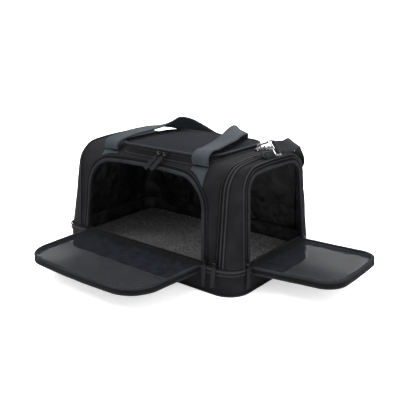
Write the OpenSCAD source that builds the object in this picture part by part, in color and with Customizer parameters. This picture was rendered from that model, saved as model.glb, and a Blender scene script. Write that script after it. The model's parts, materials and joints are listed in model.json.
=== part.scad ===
// Soft-sided pet carrier bag: a padded base band under an arched fabric tunnel that two
// hidden hoops hold up. Its front door and its right end door are zipped open and hinge
// down to lie level, and a mesh lid closes the top. It has two webbing handles and a
// shoulder strap on snap hooks. All sizes are in millimetres.
// The origin is the middle of the base, +X runs to the end door and -Y to the front door.

/* [Base] */
// Length of the base over its piping
base_l = 480; // [460:1:500]
// Width of the base over its piping
base_w = 292; // [284:1:300]
// Corner radius of the base in plan
base_r = 46; // [42:1:50]
// Height of the padded band round the base
band_h = 52; // [50:1:54]
// Radius of the piping cord
piping_r = 1.5; // [1.2:0.1:2]

/* [Body] */
// Height of the top above the floor
body_h = 241; // [236:1:246]
// Width of the body where it meets the band
body_w = 276; // [270:1:280]
// Inward lean of the long walls in degrees
wall_lean = 5.2; // [4:0.1:6]
// Radius of the long shoulders
shoulder_r = 50; // [44:1:54]
// Thickness of the padded fabric
wall_t = 4; // [3:0.5:5]
// Where the left hoop of piping lies
left_seam_x = -185; // [-195:1:-175]
// Where the right hoop of piping lies
right_seam_x = 206; // [200:1:210]
// Half the length of the body at the band
end_x = 235; // [232:1:236]
// Inward lean of the right end in degrees
right_lean = 4; // [3:0.5:5]
// Inward lean of the left end in degrees
left_lean = 10.5; // [8:0.5:12]

/* [Front door] */
// Half the clear width of the front opening
front_open_w = 158; // [150:1:160]
// Height of the top of the front opening
front_open_top = 211; // [205:1:213]
// Corner radius of the front opening
front_open_r = 58; // [50:1:64]
// Half the width of the front door
front_door_w = 161; // [156:1:162]
// Length of the front door from its hinge
front_door_l = 169; // [160:1:172]

/* [End door] */
// Half the clear width of the end opening
end_open_w = 95; // [88:1:96]
// Height of the top of the end opening
end_open_top = 221; // [214:1:222]
// Corner radius of the end opening
end_open_r = 30; // [26:1:34]
// Half the width of the end door
end_door_w = 99; // [96:1:100]
// Length of the end door from its hinge
end_door_l = 172; // [168:1:174]
// Upward tilt of the open end door in degrees
end_door_tilt = 3; // [0:1:5]

/* [Lid] */
// Length of the lid
lid_l = 255; // [240:1:258]
// Width of the lid
lid_w = 196; // [184:1:198]
// Corner radius of the lid
lid_r = 46; // [40:1:50]
// Middle of the lid along the bag
lid_x = 23; // [18:1:26]
// Middle of the lid across the bag
lid_y = -4; // [-5:1:-2]
// Height of the seam between the lid and its curb
lid_z = 242.6; // [242:0.2:244]

/* [Webbing] */
// Width of the handle webbing
handle_w = 38; // [32:1:40]
// Thickness of the handle webbing
handle_t = 2.6; // [2:0.2:3]
// Width of the shoulder strap
strap_w = 30; // [25:1:32]
// Thickness of the shoulder strap
strap_t = 2; // [1.6:0.2:2.4]

/* [Mat] */
// Length of the fleece mat
mat_l = 436; // [420:1:440]
// Width of the fleece mat
mat_w = 252; // [240:1:256]
// Height of the top of the mat
mat_top = 31; // [24:1:34]

/* [Hidden] */
$fn = 48;

fabric = [0.14, 0.14, 0.15];
trim = [0.2, 0.2, 0.21];
mesh_cloth = [0.1, 0.11, 0.12];
webbing = [0.2, 0.22, 0.24];
fleece = [0.3, 0.3, 0.3];
wire = [0.08, 0.08, 0.08];
metal = [0.55, 0.56, 0.58];
board = [0.35, 0.3, 0.25];

floor_t = 2;
ledge_t = 2;
body_z = band_h + ledge_t;
band_l = base_l - 4 * piping_r;
band_w = base_w - 4 * piping_r;
band_r = base_r - 2 * piping_r;
crown_r = 800;
sill = 3;

// Widths of the trims that lie round each door opening, counted out from its edge
binding_w = 7;
binding_h = 4.2;
front_tape_w = 8;
end_tape_w = 6.5;
tape_t = 1;
coil_r = 0.9;
coil_off = binding_w + 4.4;
frame_edge = binding_w + end_tape_w;

// ---------------------------------------------------------------- arch outlines
// An arch stands on z0 with leaning sides, round shoulders and a faintly crowned top.
// Its specification is [half width at z0, z0, lean, shoulder radius, top, crown radius].

function shoulder_up(a, c) = a[4] - a[5] + sqrt(pow(a[5] - a[3], 2) - c * c);
function shoulder_out(a, c, n) =
    n == 0 ? c
        : shoulder_out(a, a[0] - (a[3] + (shoulder_up(a, c) - a[1]) * sin(a[2])) / cos(a[2]), n - 1);
function arch_c(a) = shoulder_out(a, a[0] - a[3], 6);
function reversed(v) = [for (i = [len(v) - 1:-1:0]) v[i]];
function flipped(v) = [for (p = reversed(v)) [-p[0], p[1]]];

// The left side of an arch moved in by t: its foot, then n + 1 points round its shoulder
function arch_side(a, t = 0, n = 10) =
    let (c = arch_c(a), up = shoulder_up(a, c), phi = asin(c / (a[5] - a[3])))
    concat(
        [[-(a[0] - t / cos(a[2])), a[1]]],
        [for (i = [0:n]) let (b = a[2] + (90 - phi - a[2]) * i / n)
            [-c - (a[3] - t) * cos(b), up + (a[3] - t) * sin(b)]]
    );

// The points across the top of an arch, between its shoulders
function arch_crown(a, t = 0, n = 8) =
    let (phi = asin(arch_c(a) / (a[5] - a[3])))
    [for (i = [1:n - 1]) let (b = phi * (2 * i / n - 1))
        [(a[5] - t) * sin(b), a[4] - a[5] + (a[5] - t) * cos(b)]];

function arch(a, t = 0) = concat(arch_side(a, t), arch_crown(a, t), flipped(arch_side(a, t)));

body_arch = [body_w / 2, body_z, wall_lean, shoulder_r, body_h, crown_r];
front_arch = [front_open_w, body_z + sill, 4, front_open_r, front_open_top, 1500];
end_arch = [end_open_w, body_z, 3.5, end_open_r, end_open_top, 900];
left_arch = [end_open_w - 5, body_z, 3.5, end_open_r, end_open_top - 6, 900];
gusset_off = frame_edge + wall_t;

shoulder_y = arch_c(body_arch);
shoulder_z = shoulder_up(body_arch, shoulder_y);

// Slope and half width of the long wall at a height
function slope_at(z) =
    z < shoulder_z + shoulder_r * sin(wall_lean) ? wall_lean : asin(min(1, (z - shoulder_z) / shoulder_r));
function wall_y(z) =
    z < shoulder_z + shoulder_r * sin(wall_lean)
        ? body_w / 2 - (z - body_z) * tan(wall_lean)
        : shoulder_y + shoulder_r * cos(slope_at(z));
function right_x(z) = end_x - (z - body_z) * tan(right_lean);
function left_x(z) = -end_x + (z - body_z) * tan(left_lean);

// ---------------------------------------------------------------- general shapes

module along_x(x0, x1) {
    translate([x0, 0, 0]) rotate([90, 0, 90]) linear_extrude(x1 - x0) children();
}

module along_y(y0, y1) {
    translate([0, y1, 0]) rotate([90, 0, 0]) linear_extrude(y1 - y0) children();
}

module rounded(l, w, r) {
    square([l - 2 * r, w], center = true);
    square([l, w - 2 * r], center = true);
    for (x = [-1, 1], y = [-1, 1]) translate([x * (l / 2 - r), y * (w / 2 - r)]) circle(r);
}

// A round cord that follows a rounded rectangle, centred on its outline
module rounded_cord(l, w, r, cord_r) {
    for (s = [-1, 1]) {
        translate([r - l / 2, s * w / 2, 0]) rotate([0, 90, 0])
            cylinder(h = l - 2 * r, r = cord_r, $fn = 16);
        translate([s * l / 2, r - w / 2, 0]) rotate([-90, 0, 0])
            cylinder(h = w - 2 * r, r = cord_r, $fn = 16);
    }
    for (k = [0:3])
        translate([(k == 0 || k == 3 ? 1 : -1) * (l / 2 - r), (k < 2 ? 1 : -1) * (w / 2 - r), 0])
            rotate([0, 0, 90 * k]) rotate_extrude(angle = 90) translate([r, 0]) circle(cord_r, $fn = 16);
}

function unit(v) = v / norm(v);
function tangent(p, i) = unit(p[min(i + 1, len(p) - 1)] - p[max(i - 1, 0)]);

// A strip swept along path, with its flat side facing each normal. Its section is an
// octagon of half width a and half height b when soft, and a rectangle when not.
module swept(path, normals, a, b, soft = true) {
    section = soft
        ? [for (k = [0:7]) [a * cos(22.5 + 45 * k) / cos(22.5), b * sin(22.5 + 45 * k) / cos(22.5)]]
        : [[a, b], [-a, b], [-a, -b], [a, -b]];
    m = len(section);
    n = len(path);
    points = [for (i = [0:n - 1])
        let (t = tangent(path, i), side = unit(cross(t, normals[i])), up = cross(side, t))
        for (k = [0:m - 1]) path[i] + side * section[k][0] + up * section[k][1]];
    sides = [for (i = [0:n - 2], k = [0:m - 1])
        let (p = i * m + k, q = i * m + (k + 1) % m)
        each [[p, q, q + m], [p, q + m, p + m]]];
    caps = [[for (k = [m - 1:-1:0]) k], [for (k = [0:m - 1]) (n - 1) * m + k]];
    polyhedron(points, concat(sides, caps));
}

// ---------------------------------------------------------------- base

module bottom_panel() {
    color(fabric) linear_extrude(floor_t) rounded(band_l - 8.4, band_w - 8.4, band_r - 4.2);
}

module base_board() {
    color(board) translate([0, 0, floor_t]) linear_extrude(3) rounded(462, 274, band_r - 6);
}

module base_band() {
    color(fabric) linear_extrude(band_h) difference() {
        rounded(band_l, band_w, band_r);
        rounded(band_l - 8, band_w - 8, band_r - 4);
    }
}

module base_piping() {
    color(trim) for (z = [piping_r + 0.6, band_h - 9, band_h - piping_r])
        translate([0, 0, z])
            rounded_cord(base_l - 2 * piping_r, base_w - 2 * piping_r, base_r - piping_r, piping_r);
}

module rim_ledge() {
    color(fabric) translate([0, 0, band_h]) linear_extrude(ledge_t) difference() {
        rounded(band_l, band_w, band_r);
        rounded(band_l - 26, band_w - 30, band_r - 12);
    }
}

module fleece_mat() {
    color(fleece) translate([0, 0, floor_t + 3.2]) linear_extrude(mat_top - floor_t - 3.2)
        rounded(mat_l, mat_w, 34);
}

// ---------------------------------------------------------------- body

module body_strip(outer, inner) {
    along_x(left_seam_x, right_seam_x) polygon(concat(outer, reversed(inner)));
}

module front_panel() {
    color(fabric) difference() {
        body_strip(arch_side(body_arch), arch_side(body_arch, wall_t));
        along_y(-body_w, 0) polygon(arch(front_arch));
        lid_hole();
    }
}

module back_panel() {
    color(fabric) difference() {
        body_strip(flipped(arch_side(body_arch)), flipped(arch_side(body_arch, wall_t)));
        lid_hole();
    }
}

module top_panel() {
    outer = arch_side(body_arch);
    inner = arch_side(body_arch, wall_t);
    last = len(outer) - 1;
    color(fabric) difference() {
        body_strip(
            concat([outer[last]], arch_crown(body_arch), [[-outer[last][0], outer[last][1]]]),
            concat([inner[last]], arch_crown(body_arch, wall_t), [[-inner[last][0], inner[last][1]]])
        );
        lid_hole();
    }
}

module lid_hole() {
    translate([lid_x, lid_y, body_h - 60]) linear_extrude(80) rounded(lid_l, lid_w, lid_r);
}

// The rounded gusset between the tunnel at seam_x and an end outline
module gusset(seam_x, end_spec, side) {
    steps = 5;
    function at(t, i, k) =
        let (
            a = arch(body_arch, t)[i],
            b = arch(end_spec, t - gusset_off)[i],
            z = b[1],
            x = side > 0 ? right_x(z) - t : left_x(z) + t,
            u = 90 * k / steps
        )
        [seam_x + (x - seam_x) * sin(u), b[0] + (a[0] - b[0]) * cos(u), b[1] + (a[1] - b[1]) * cos(u)];
    n = len(arch(body_arch));
    row = steps + 1;
    outer = [for (i = [0:n - 1], k = [0:steps]) at(0, i, k)];
    inner = [for (i = [0:n - 1], k = [0:steps]) at(wall_t, i, k)];
    m = n * row;
    skin = [for (i = [0:n - 2], k = [0:steps - 1])
        let (p = i * row + k)
        each [[p, p + row, p + row + 1], [p, p + row + 1, p + 1],
              [m + p, m + p + row + 1, m + p + row], [m + p, m + p + 1, m + p + row + 1]]];
    rims = [for (i = [0:n - 2], e = [0, steps])
        let (p = i * row + e, q = p + row)
        each (e == 0 ? [[p, m + p, m + q], [p, m + q, q]] : [[p, m + q, m + p], [p, q, m + q]])];
    feet = [for (k = [0:steps - 1], f = [0, n - 1])
        let (p = f * row + k, q = p + 1)
        each (f == 0 ? [[p, q, m + q], [p, m + q, m + p]] : [[p, m + q, q], [p, m + p, m + q]])];
    faces = concat(skin, rims, feet);
    polyhedron(concat(outer, inner), side > 0 ? [for (f = faces) reversed(f)] : faces);
}

module left_gusset() {
    color(fabric) gusset(left_seam_x, left_arch, -1);
}

module right_gusset() {
    color(fabric) gusset(right_seam_x, end_arch, 1);
}

module left_end_panel() {
    color(fabric) end_solid(left_arch, left_lean, -1);
}

module right_end_frame() {
    color(fabric) difference() {
        end_solid(end_arch, right_lean, 1);
        along_x(end_x - 60, end_x + 20)
            polygon([for (p = arch(end_arch)) [p[0], max(p[1], body_z + sill)]]);
    }
}

// An upright plate that leans with an end, bounded by that end's outline
module end_solid(spec, lean, side) {
    intersection() {
        along_x(side > 0 ? end_x - 60 : -end_x - 20, side > 0 ? end_x + 20 : -end_x + 60)
            polygon(arch(spec, -frame_edge));
        rotate([90, 0, 0]) translate([0, 0, -base_w / 2]) linear_extrude(base_w) polygon([
            [side * end_x, body_z],
            [side * (end_x - (body_h - body_z) * tan(lean)), body_h],
            [side * (end_x - wall_t - (body_h - body_z) * tan(lean)), body_h],
            [side * (end_x - wall_t), body_z]
        ]);
    }
}

// A cord that follows the tunnel's outline at one place along the bag
module hoop(x, off, cord_r) {
    line = [for (p = arch(body_arch, -off)) [x, p[0], max(p[1], body_z + cord_r)]];
    swept(line, [for (p = line) [1, 0, 0]], cord_r, cord_r);
}

module hoop_piping() {
    color(trim) for (x = [left_seam_x, right_seam_x - 6, right_seam_x + 1.6])
        hoop(x, piping_r + 0.2, piping_r);
}

module frame_hoops() {
    color(metal) for (x = [left_seam_x + 8, right_seam_x - 8]) hoop(x, -wall_t - 1.8, 1.5);
}

// ---------------------------------------------------------------- trims round the openings

// The points of the front opening's outline moved out by off, raised by lift from the wall
function front_line(off, lift) = [for (p = arch(front_arch, -off))
    let (s = slope_at(p[1])) [p[0], -wall_y(p[1]) - lift * cos(s), p[1] + lift * sin(s)]];
function front_normals(off) = [for (p = arch(front_arch, -off))
    let (s = slope_at(p[1])) [0, -cos(s), sin(s)]];
function end_line(off, lift) = [for (p = arch(end_arch, -off))
    [right_x(p[1]) + lift * cos(right_lean), p[0], p[1] + lift * sin(right_lean)]];
function end_normals(off) = [for (p = arch(end_arch, -off)) [cos(right_lean), 0, sin(right_lean)]];

module front_strip(off, lift, a, b) {
    swept(front_line(off, lift), front_normals(off), a, b);
}

module end_strip(off, lift, a, b) {
    swept(end_line(off, lift), end_normals(off), a, b);
}

module front_binding() {
    color(trim) front_strip(binding_w / 2, binding_h / 2 + 0.2, binding_w / 2, binding_h / 2);
}

module end_binding() {
    color(trim) end_strip(binding_w / 2, binding_h / 2 + 0.2, binding_w / 2, binding_h / 2);
}

module front_zip_tape() {
    off = binding_w + front_tape_w / 2;
    color(wire) {
        front_strip(off, tape_t / 2 + 0.2, front_tape_w / 2 - 0.2, tape_t / 2);
        front_strip(coil_off, tape_t + coil_r + 0.3, coil_r, coil_r);
    }
}

module end_zip_tape() {
    off = binding_w + end_tape_w / 2;
    color(wire) {
        end_strip(off, tape_t / 2 + 0.2, end_tape_w / 2 - 0.2, tape_t / 2);
        end_strip(coil_off, tape_t + coil_r + 0.3, coil_r, coil_r);
    }
}

expansion_x = right_seam_x - 13;

module expansion_zip_tape() {
    color(wire) {
        for (half = [[0.2 + tape_t / 2, 5, tape_t / 2], [0.3 + tape_t + coil_r, coil_r, coil_r]]) {
            line = [for (p = arch(body_arch, -half[0])) [expansion_x, p[0], max(p[1], body_z + 0.1)]];
            swept(line, arch_normals(), half[1], half[2]);
        }
    }
}

// Outward directions of the tunnel's outline
function arch_normals() =
    let (line = arch(body_arch), n = len(line))
    [for (i = [0:n - 1]) let (d = line[min(i + 1, n - 1)] - line[max(i - 1, 0)]) unit([0, -d[1], d[0]])];

module lid_curb() {
    color(fabric) translate([lid_x, lid_y, body_h - 20])
        linear_extrude(lid_z - body_h + 20 - 0.3) difference() {
            rounded(lid_l, lid_w, lid_r);
            rounded(lid_l - 6, lid_w - 6, lid_r - 3);
        }
}

// ---------------------------------------------------------------- handles

// A band of webbing sewn flat to the shoulder between two heights
module patch(x, z0, z1, back) {
    outer = [for (z = [z0:3:z1]) let (s = slope_at(z)) [-wall_y(z) - 2 * cos(s), z + 2 * sin(s)]];
    inner = [for (z = [z0:3:z1]) let (s = slope_at(z)) [-wall_y(z) - 0.2 * cos(s), z + 0.2 * sin(s)]];
    mirror([0, back ? 1 : 0, 0])
        along_x(x - handle_w / 2, x + handle_w / 2) polygon(concat(outer, reversed(inner)));
}

front_leg_left = -107;
front_leg_right = 131;
rear_leg = 116;

module front_handle_patches() {
    color(webbing) difference() {
        union() {
            patch(front_leg_left, 206, 227, false);
            patch(front_leg_right, 185, 227, false);
        }
        along_y(-base_w, 0) polygon(arch(front_arch, -frame_edge - 2));
    }
}

module rear_handle_patches() {
    color(webbing) for (x = [-rear_leg, rear_leg]) patch(x, 186, 228, true);
}

// Middle line of each handle, and the way that its outer face looks
front_handle_route = [
    [[-107, -107, 232], [0, -0.8, 0.6]], [[-107, -108, 239], [0, -0.9, 0.4]],
    [[-106, -105, 247], [0, -0.7, 0.7]], [[-104, -95, 252.5], [0, -0.45, 0.9]],
    [[-100, -76, 257], [0, -0.25, 0.95]], [[-96, -50, 260.5], [0, -0.2, 1]], [[-92, -18, 262.5], [0, -0.1, 1]],
    [[-90, 15, 264], [-0.1, 0, 1]], [[-89, 46, 265], [-0.4, 0, 0.9]], [[-87, 75, 264.5], [-0.7, 0.25, 0.7]],
    [[-75, 102, 256], [-0.7, 0.6, 0.5]], [[-51, 122, 240], [-0.4, 0.9, 0.35]],
    [[-20, 131, 225], [-0.1, 0.95, 0.25]], [[12, 133.5, 220], [0, 0.95, 0.2]],
    [[38, 131, 224], [0.05, 0.95, 0.2]], [[58, 122.5, 236], [0.25, 0.92, 0.3]],
    [[72, 108, 253.5], [0.4, 0.8, 0.45]], [[83, 85, 265], [0.3, 0.4, 0.9]],
    [[95, 56, 267.5], [0.25, 0.15, 0.95]], [[105, 28, 266.5], [0.15, 0, 1]], [[114, 0, 263], [0.1, -0.1, 1]],
    [[118, -35, 258.5], [0, -0.15, 1]], [[123, -66, 256], [0, -0.2, 1]], [[127, -91, 256], [0, -0.4, 0.9]],
    [[130, -106, 249.5], [0, -0.75, 0.65]], [[131, -109, 240], [0, -0.9, 0.4]],
    [[131, -107, 232], [0, -0.8, 0.6]]
];

rear_handle_half = [
    [[-116, 114.2, 225.7], [0, 0.6, 0.8]], [[-116, 122, 221], [0, 0.7, 0.7]],
    [[-116, 128, 212], [0, 0.9, 0.4]],
    [[-116, 132, 200], [0, 1, 0.2]], [[-116, 136, 182], [0, 1, 0]], [[-115, 141, 162], [-0.2, 1, 0]],
    [[-109, 148, 142], [-0.45, 0.9, -0.2]], [[-96, 153, 119], [-0.6, 0.75, -0.45]],
    [[-72, 157, 102], [-0.4, 0.6, -0.75]], [[-38, 159, 93], [-0.1, 0.45, -0.9]],
    [[0, 160, 90], [0, 0.4, -0.9]]
];
function mirrored_route(r) = [for (i = [len(r) - 2:-1:0])
    [for (v = r[i]) [-v[0], v[1], v[2]]]];

// A smooth curve through the stations of a route, with steps points from each to the next
function between(a, b, c, d, t) =
    (2 * b + (c - a) * t + (2 * a - 5 * b + 4 * c - d) * t * t + (3 * b - a - 3 * c + d) * t * t * t) / 2;
function smooth(r, steps) =
    let (n = len(r) - 1)
    concat(
        [for (i = [0:n - 1], k = [0:steps - 1])
            between(r[max(i - 1, 0)], r[i], r[i + 1], r[min(i + 2, n)], k / steps)],
        [r[n]]
    );

module ribbon(route, w, t, steps = 3) {
    line = smooth(route, steps);
    swept([for (p = line) p[0]], [for (p = line) p[1]], w / 2, t / 2, soft = false);
}

module front_handle() {
    color(webbing) ribbon(front_handle_route, handle_w, handle_t);
}

module rear_handle() {
    color(webbing) ribbon(concat(rear_handle_half, mirrored_route(rear_handle_half)), handle_w, handle_t);
}

// ---------------------------------------------------------------- doors

door_hinge_z = 51;
front_hinge_y = -base_w / 2 - 2.5;
end_hinge_x = base_l / 2 + 2.5;
front_door_arch = [front_door_w, 1.5, 3, 60, front_door_l, 1500];
end_door_arch = [end_door_w, 1.5, 3, 40, end_door_l, 900];
door_bind_w = 7;
rim_drop = 9;

// Lays an outline drawn across and out from the hinge down as a level door
module front_door_frame() {
    translate([0, front_hinge_y, door_hinge_z]) children();
}

module end_door_frame() {
    translate([end_hinge_x, 0, door_hinge_z + 1])
        rotate([0, -end_door_tilt, 0]) rotate([0, 0, 90]) children();
}

function flat_line(a, off, z) = [for (p = arch(a, off)) [p[0], -p[1], z]];

module door_mesh(a) {
    translate([0, 0, -0.7]) linear_extrude(1.4) mirror([0, 1]) polygon(arch(a, door_bind_w + 0.2));
}

module door_binding(a) {
    line = flat_line(a, door_bind_w / 2, 0.4);
    swept(line, [for (p = line) [0, 0, 1]], door_bind_w / 2, 2.2);
}

module door_tape(a) {
    line = flat_line(a, 1, -2.3 - rim_drop / 2);
    swept(line, [for (p = line) [0, 0, 1]], 0.8, rim_drop / 2, soft = false);
}

module front_door_mesh() {
    color(mesh_cloth) front_door_frame() door_mesh(front_door_arch);
}

module front_door_binding() {
    color(trim) front_door_frame() door_binding(front_door_arch);
}

module front_door_tape() {
    color(wire) front_door_frame() door_tape(front_door_arch);
}

module end_door_mesh() {
    color(mesh_cloth) end_door_frame() door_mesh(end_door_arch);
}

module end_door_binding() {
    color(trim) end_door_frame() door_binding(end_door_arch);
}

module end_door_tape() {
    color(wire) end_door_frame() door_tape(end_door_arch);
}

// ---------------------------------------------------------------- lid

lid_rim_h = 6.4;

module lid_binding() {
    color(trim) translate([lid_x, lid_y, lid_z + 1.4]) linear_extrude(lid_rim_h - 1.4) difference() {
        rounded(lid_l + 1, lid_w + 1, lid_r + 0.5);
        rounded(lid_l - 14, lid_w - 14, lid_r - 7);
    }
}

module lid_mesh() {
    color(mesh_cloth) translate([lid_x, lid_y, lid_z + 3.4]) linear_extrude(1.4)
        rounded(lid_l - 14.2, lid_w - 14.2, lid_r - 7.1);
}

module lid_zip_tape() {
    color(wire) translate([lid_x, lid_y, lid_z]) {
        linear_extrude(1.4) difference() {
            rounded(lid_l - 0.6, lid_w - 0.6, lid_r - 0.3);
            rounded(lid_l - 8, lid_w - 8, lid_r - 4);
        }
    }
}

// ---------------------------------------------------------------- zip sliders and pulls

// A slider straddles a coil that runs along z on a face that looks towards -y.
// spin turns its lug about the face's normal.
pin_r = 0.9;
pin_lift = 8.2;

module slider(spin = 0) {
    color(metal) {
        translate([0, -4.2, 0]) cube([8, 1.4, 11], center = true);
        for (s = [-1, 1]) translate([s * 3.4, -2.7, 0]) cube([1.2, 2, 10], center = true);
        rotate([0, spin, 0]) {
            for (s = [-1, 1]) {
                translate([s * 2.6, -6.5, 0]) cube([1, 3.8, 3.4], center = true);
                translate([s * 2.6 - 0.5, -pin_lift, 0]) rotate([0, 90, 0])
                    cylinder(h = 1, r = 1.7, $fn = 24);
            }
            translate([-2.6, -pin_lift, 0]) rotate([0, 90, 0]) cylinder(h = 5.2, r = pin_r, $fn = 24);
        }
    }
}

// The pull hangs from the slider's pin: a ring round the pin, a neck and a flat tab.
// swing lifts the tab away from the face.
module pull(l, spin = 0, swing = 10) {
    color(webbing) rotate([0, spin, 0]) translate([0, -pin_lift, 0]) rotate([-swing, 0, 0]) {
        difference() {
            union() {
                translate([-1.8, 0, 0]) rotate([0, 90, 0]) cylinder(h = 3.6, r = 2.2, $fn = 24);
                translate([-1.8, -0.9, -7]) cube([3.6, 1.8, 6]);
            }
            translate([-3, 0, 0]) rotate([0, 90, 0]) cylinder(h = 6, r = pin_r + 0.08, $fn = 24);
        }
        translate([-4.5, -1, -l]) cube([9, 2, l - 6.5]);
    }
}

front_slide_z = 62;

module at_front_zip() {
    x = front_open_w + coil_off / cos(4) - (front_slide_z - body_z - sill) * tan(4);
    translate([x, -wall_y(front_slide_z), front_slide_z])
        rotate([-wall_lean, 0, 0]) rotate([0, -4, 0]) children();
}

module at_end_zip() {
    y = end_open_w + coil_off / cos(3.5) - (front_slide_z - body_z) * tan(3.5);
    translate([right_x(front_slide_z), -y, front_slide_z])
        rotate([0, -right_lean, 0]) rotate([-3.5, 0, 0]) rotate([0, 0, 90]) children();
}

module at_expansion_zip() {
    translate([expansion_x, -wall_y(front_slide_z + 1), front_slide_z + 1])
        rotate([-wall_lean, 0, 0]) children();
}

module at_lid_zip(x) {
    translate([x, lid_y - lid_w / 2 + 1.2, lid_z - 3]) rotate([0, 90, 0]) children();
}

module front_zip_slider() {
    at_front_zip() slider();
}

module front_zip_pull() {
    at_front_zip() pull(48, 0, 5);
}

module end_zip_slider() {
    at_end_zip() slider();
}

module end_zip_pull() {
    at_end_zip() pull(48, 0, -3);
}

module expansion_zip_slider() {
    at_expansion_zip() slider();
}

module expansion_zip_pull() {
    at_expansion_zip() pull(46, 0, 5);
}

lid_slide_left = 26;
lid_slide_right = 41;
lid_spin = -60;
lid_swing = 33;

module lid_zip_slider_left() {
    at_lid_zip(lid_slide_left) slider(lid_spin);
}

module lid_zip_pull_left() {
    at_lid_zip(lid_slide_left) pull(40, lid_spin, lid_swing);
}

module lid_zip_slider_right() {
    at_lid_zip(lid_slide_right) slider(lid_spin);
}

module lid_zip_pull_right() {
    at_lid_zip(lid_slide_right) pull(40, lid_spin, lid_swing);
}

// ---------------------------------------------------------------- rings, hooks and shoulder strap

ring_half = 21;
ring_up = 25;
ring_wire = 2;
ring_corner = 4;
tab_half = 16.5;
tab_right = [217, -7, 245.4];
tab_left = [left_x(222) - 4.7, -7, 222];

// How far each ring leans from upright: the right one in over the top, the left one out
// and down along the end
lean_right = -38;
lean_left = 150;

// Places a set of fittings at an end: the local z runs out along the ring
module at_ring(side) {
    translate(side > 0 ? tab_right : tab_left) mirror([side > 0 ? 0 : 1, 0, 0])
        rotate([0, side > 0 ? lean_right : lean_left, 0]) children();
}

module rod(p, q, r) {
    d = q - p;
    translate(p) rotate([0, acos(d[2] / norm(d)), atan2(d[1], d[0])]) cylinder(h = norm(d), r = r, $fn = 20);
}

module ring() {
    color(wire) {
        rod([0, ring_corner - ring_half, 0], [0, ring_half - ring_corner, 0], ring_wire);
        rod([0, ring_corner - ring_half, ring_up], [0, ring_half - ring_corner, ring_up], ring_wire);
        for (s = [-1, 1])
            rod([0, s * ring_half, ring_corner], [0, s * ring_half, ring_up - ring_corner], ring_wire);
        for (k = [0:3])
            translate([0, (k < 2 ? 1 : -1) * (ring_half - ring_corner),
                       k == 0 || k == 3 ? ring_up - ring_corner : ring_corner])
                rotate([-90 * k, 0, 0]) rotate([90, 0, 90])
                    rotate_extrude(angle = 90) translate([ring_corner, 0]) circle(ring_wire, $fn = 20);
    }
}

// A webbing tab rolled round the ring's bar, with a foot sewn down to the bag
module ring_tab(side) {
    color(webbing) translate(side > 0 ? tab_right : tab_left)
        rotate([0, side > 0 ? 0 : left_lean - 90, 0]) difference() {
            union() {
                rotate([90, 0, 0]) cylinder(h = 2 * tab_half, r = 4.2, center = true);
                translate([-4, -tab_half, -4.4]) cube([8, 2 * tab_half, 3]);
            }
            rotate([90, 0, 0]) cylinder(h = 60, r = ring_wire + 0.1, center = true);
        }
}

hook_r = 7;
hook_wire = 2;
gate_pin = [5.4, 10, 0];

// The hook's local y runs from its jaw towards the strap. The right hook is clipped on the
// ring's near arm, and the left one hangs in its ring's rear corner.
module at_hook(side) {
    corner = ring_corner * sin(45) - ring_corner;
    at_ring(side) {
        if (side > 0)
            translate([0, -ring_half, 17]) rotate([-15.4, 0, -20.7]) children();
        else
            translate([0, ring_half + corner, ring_up + corner])
                rotate([0, 18, 0]) rotate([45, 0, 0]) children();
    }
}

// Turns a swivel's eye about the hook so that the strap lies flat
module at_swivel(side) {
    at_hook(side) rotate([0, side > 0 ? -19 : 0, 0]) children();
}

module hook_body() {
    color(metal) {
        rotate([0, 0, 90]) rotate_extrude(angle = 256) translate([hook_r, 0]) circle(hook_wire, $fn = 20);
        translate([0, hook_r, 0]) sphere(hook_wire);
        translate([0, hook_r - 1, 0]) rotate([-90, 0, 0]) cylinder(h = 13, r = 3);
        translate([0, 19, 0]) rotate([-90, 0, 0]) cylinder(h = 3.5, r = 4.6);
        for (s = [-1, 1]) translate([0, gate_pin[1] - 1.8, s * 2.9 - 0.5]) cube([gate_pin[0] + 1.4, 3.6, 1]);
    }
}

module hook_gate() {
    color(metal) {
        rod([hook_r, -0.2, 0], gate_pin, 1.2);
        translate(gate_pin) cylinder(h = 4, r = 1.6, center = true);
    }
}

module swivel_eye() {
    eye_w = strap_w / 2 + 3;
    color(metal) {
        translate([0, 22.9, 0]) rotate([-90, 0, 0]) cylinder(h = 4, r = 4.2);
        rod([0, 28, -eye_w], [0, 28, eye_w], 1.7);
        rod([0, 38, -eye_w], [0, 38, eye_w], 1.7);
        for (s = [-1, 1]) rod([0, 26.5, s * eye_w], [0, 39.5, s * eye_w], 1.7);
    }
}

module strap_end() {
    color(webbing) difference() {
        union() {
            translate([0, 38, 0]) cylinder(h = strap_w, r = 4, center = true);
            translate([-1.9, 38, -strap_w / 2]) cube([3.8, 12, strap_w]);
        }
        translate([0, 38, 0]) cylinder(h = strap_w + 2, r = 1.9, center = true, $fn = 24);
    }
}

module ring_tab_right() {
    ring_tab(1);
}

module ring_tab_left() {
    ring_tab(-1);
}

module ring_right() {
    at_ring(1) ring();
}

module ring_left() {
    at_ring(-1) ring();
}

module hook_right() {
    at_hook(1) hook_body();
}

module hook_left() {
    at_hook(-1) hook_body();
}

module gate_right() {
    at_hook(1) hook_gate();
}

module gate_left() {
    at_hook(-1) hook_gate();
}

module swivel_eye_right() {
    at_swivel(1) swivel_eye();
}

module swivel_eye_left() {
    at_swivel(-1) swivel_eye();
}

module strap_end_right() {
    at_swivel(1) strap_end();
}

module strap_end_left() {
    at_swivel(-1) strap_end();
}

// The shoulder strap hangs down behind the bag from the right end's hook as a chain does,
// and comes up round the left rear corner to the hook on the left end.
strap_low = 31;
sag_scale = 135;
function hang(x) = strap_low + sag_scale * ((exp(x / sag_scale) + exp(-x / sag_scale)) / 2 - 1);
function hanging(x, y, normal) = [[x, y, hang(x)], normal];

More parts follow.
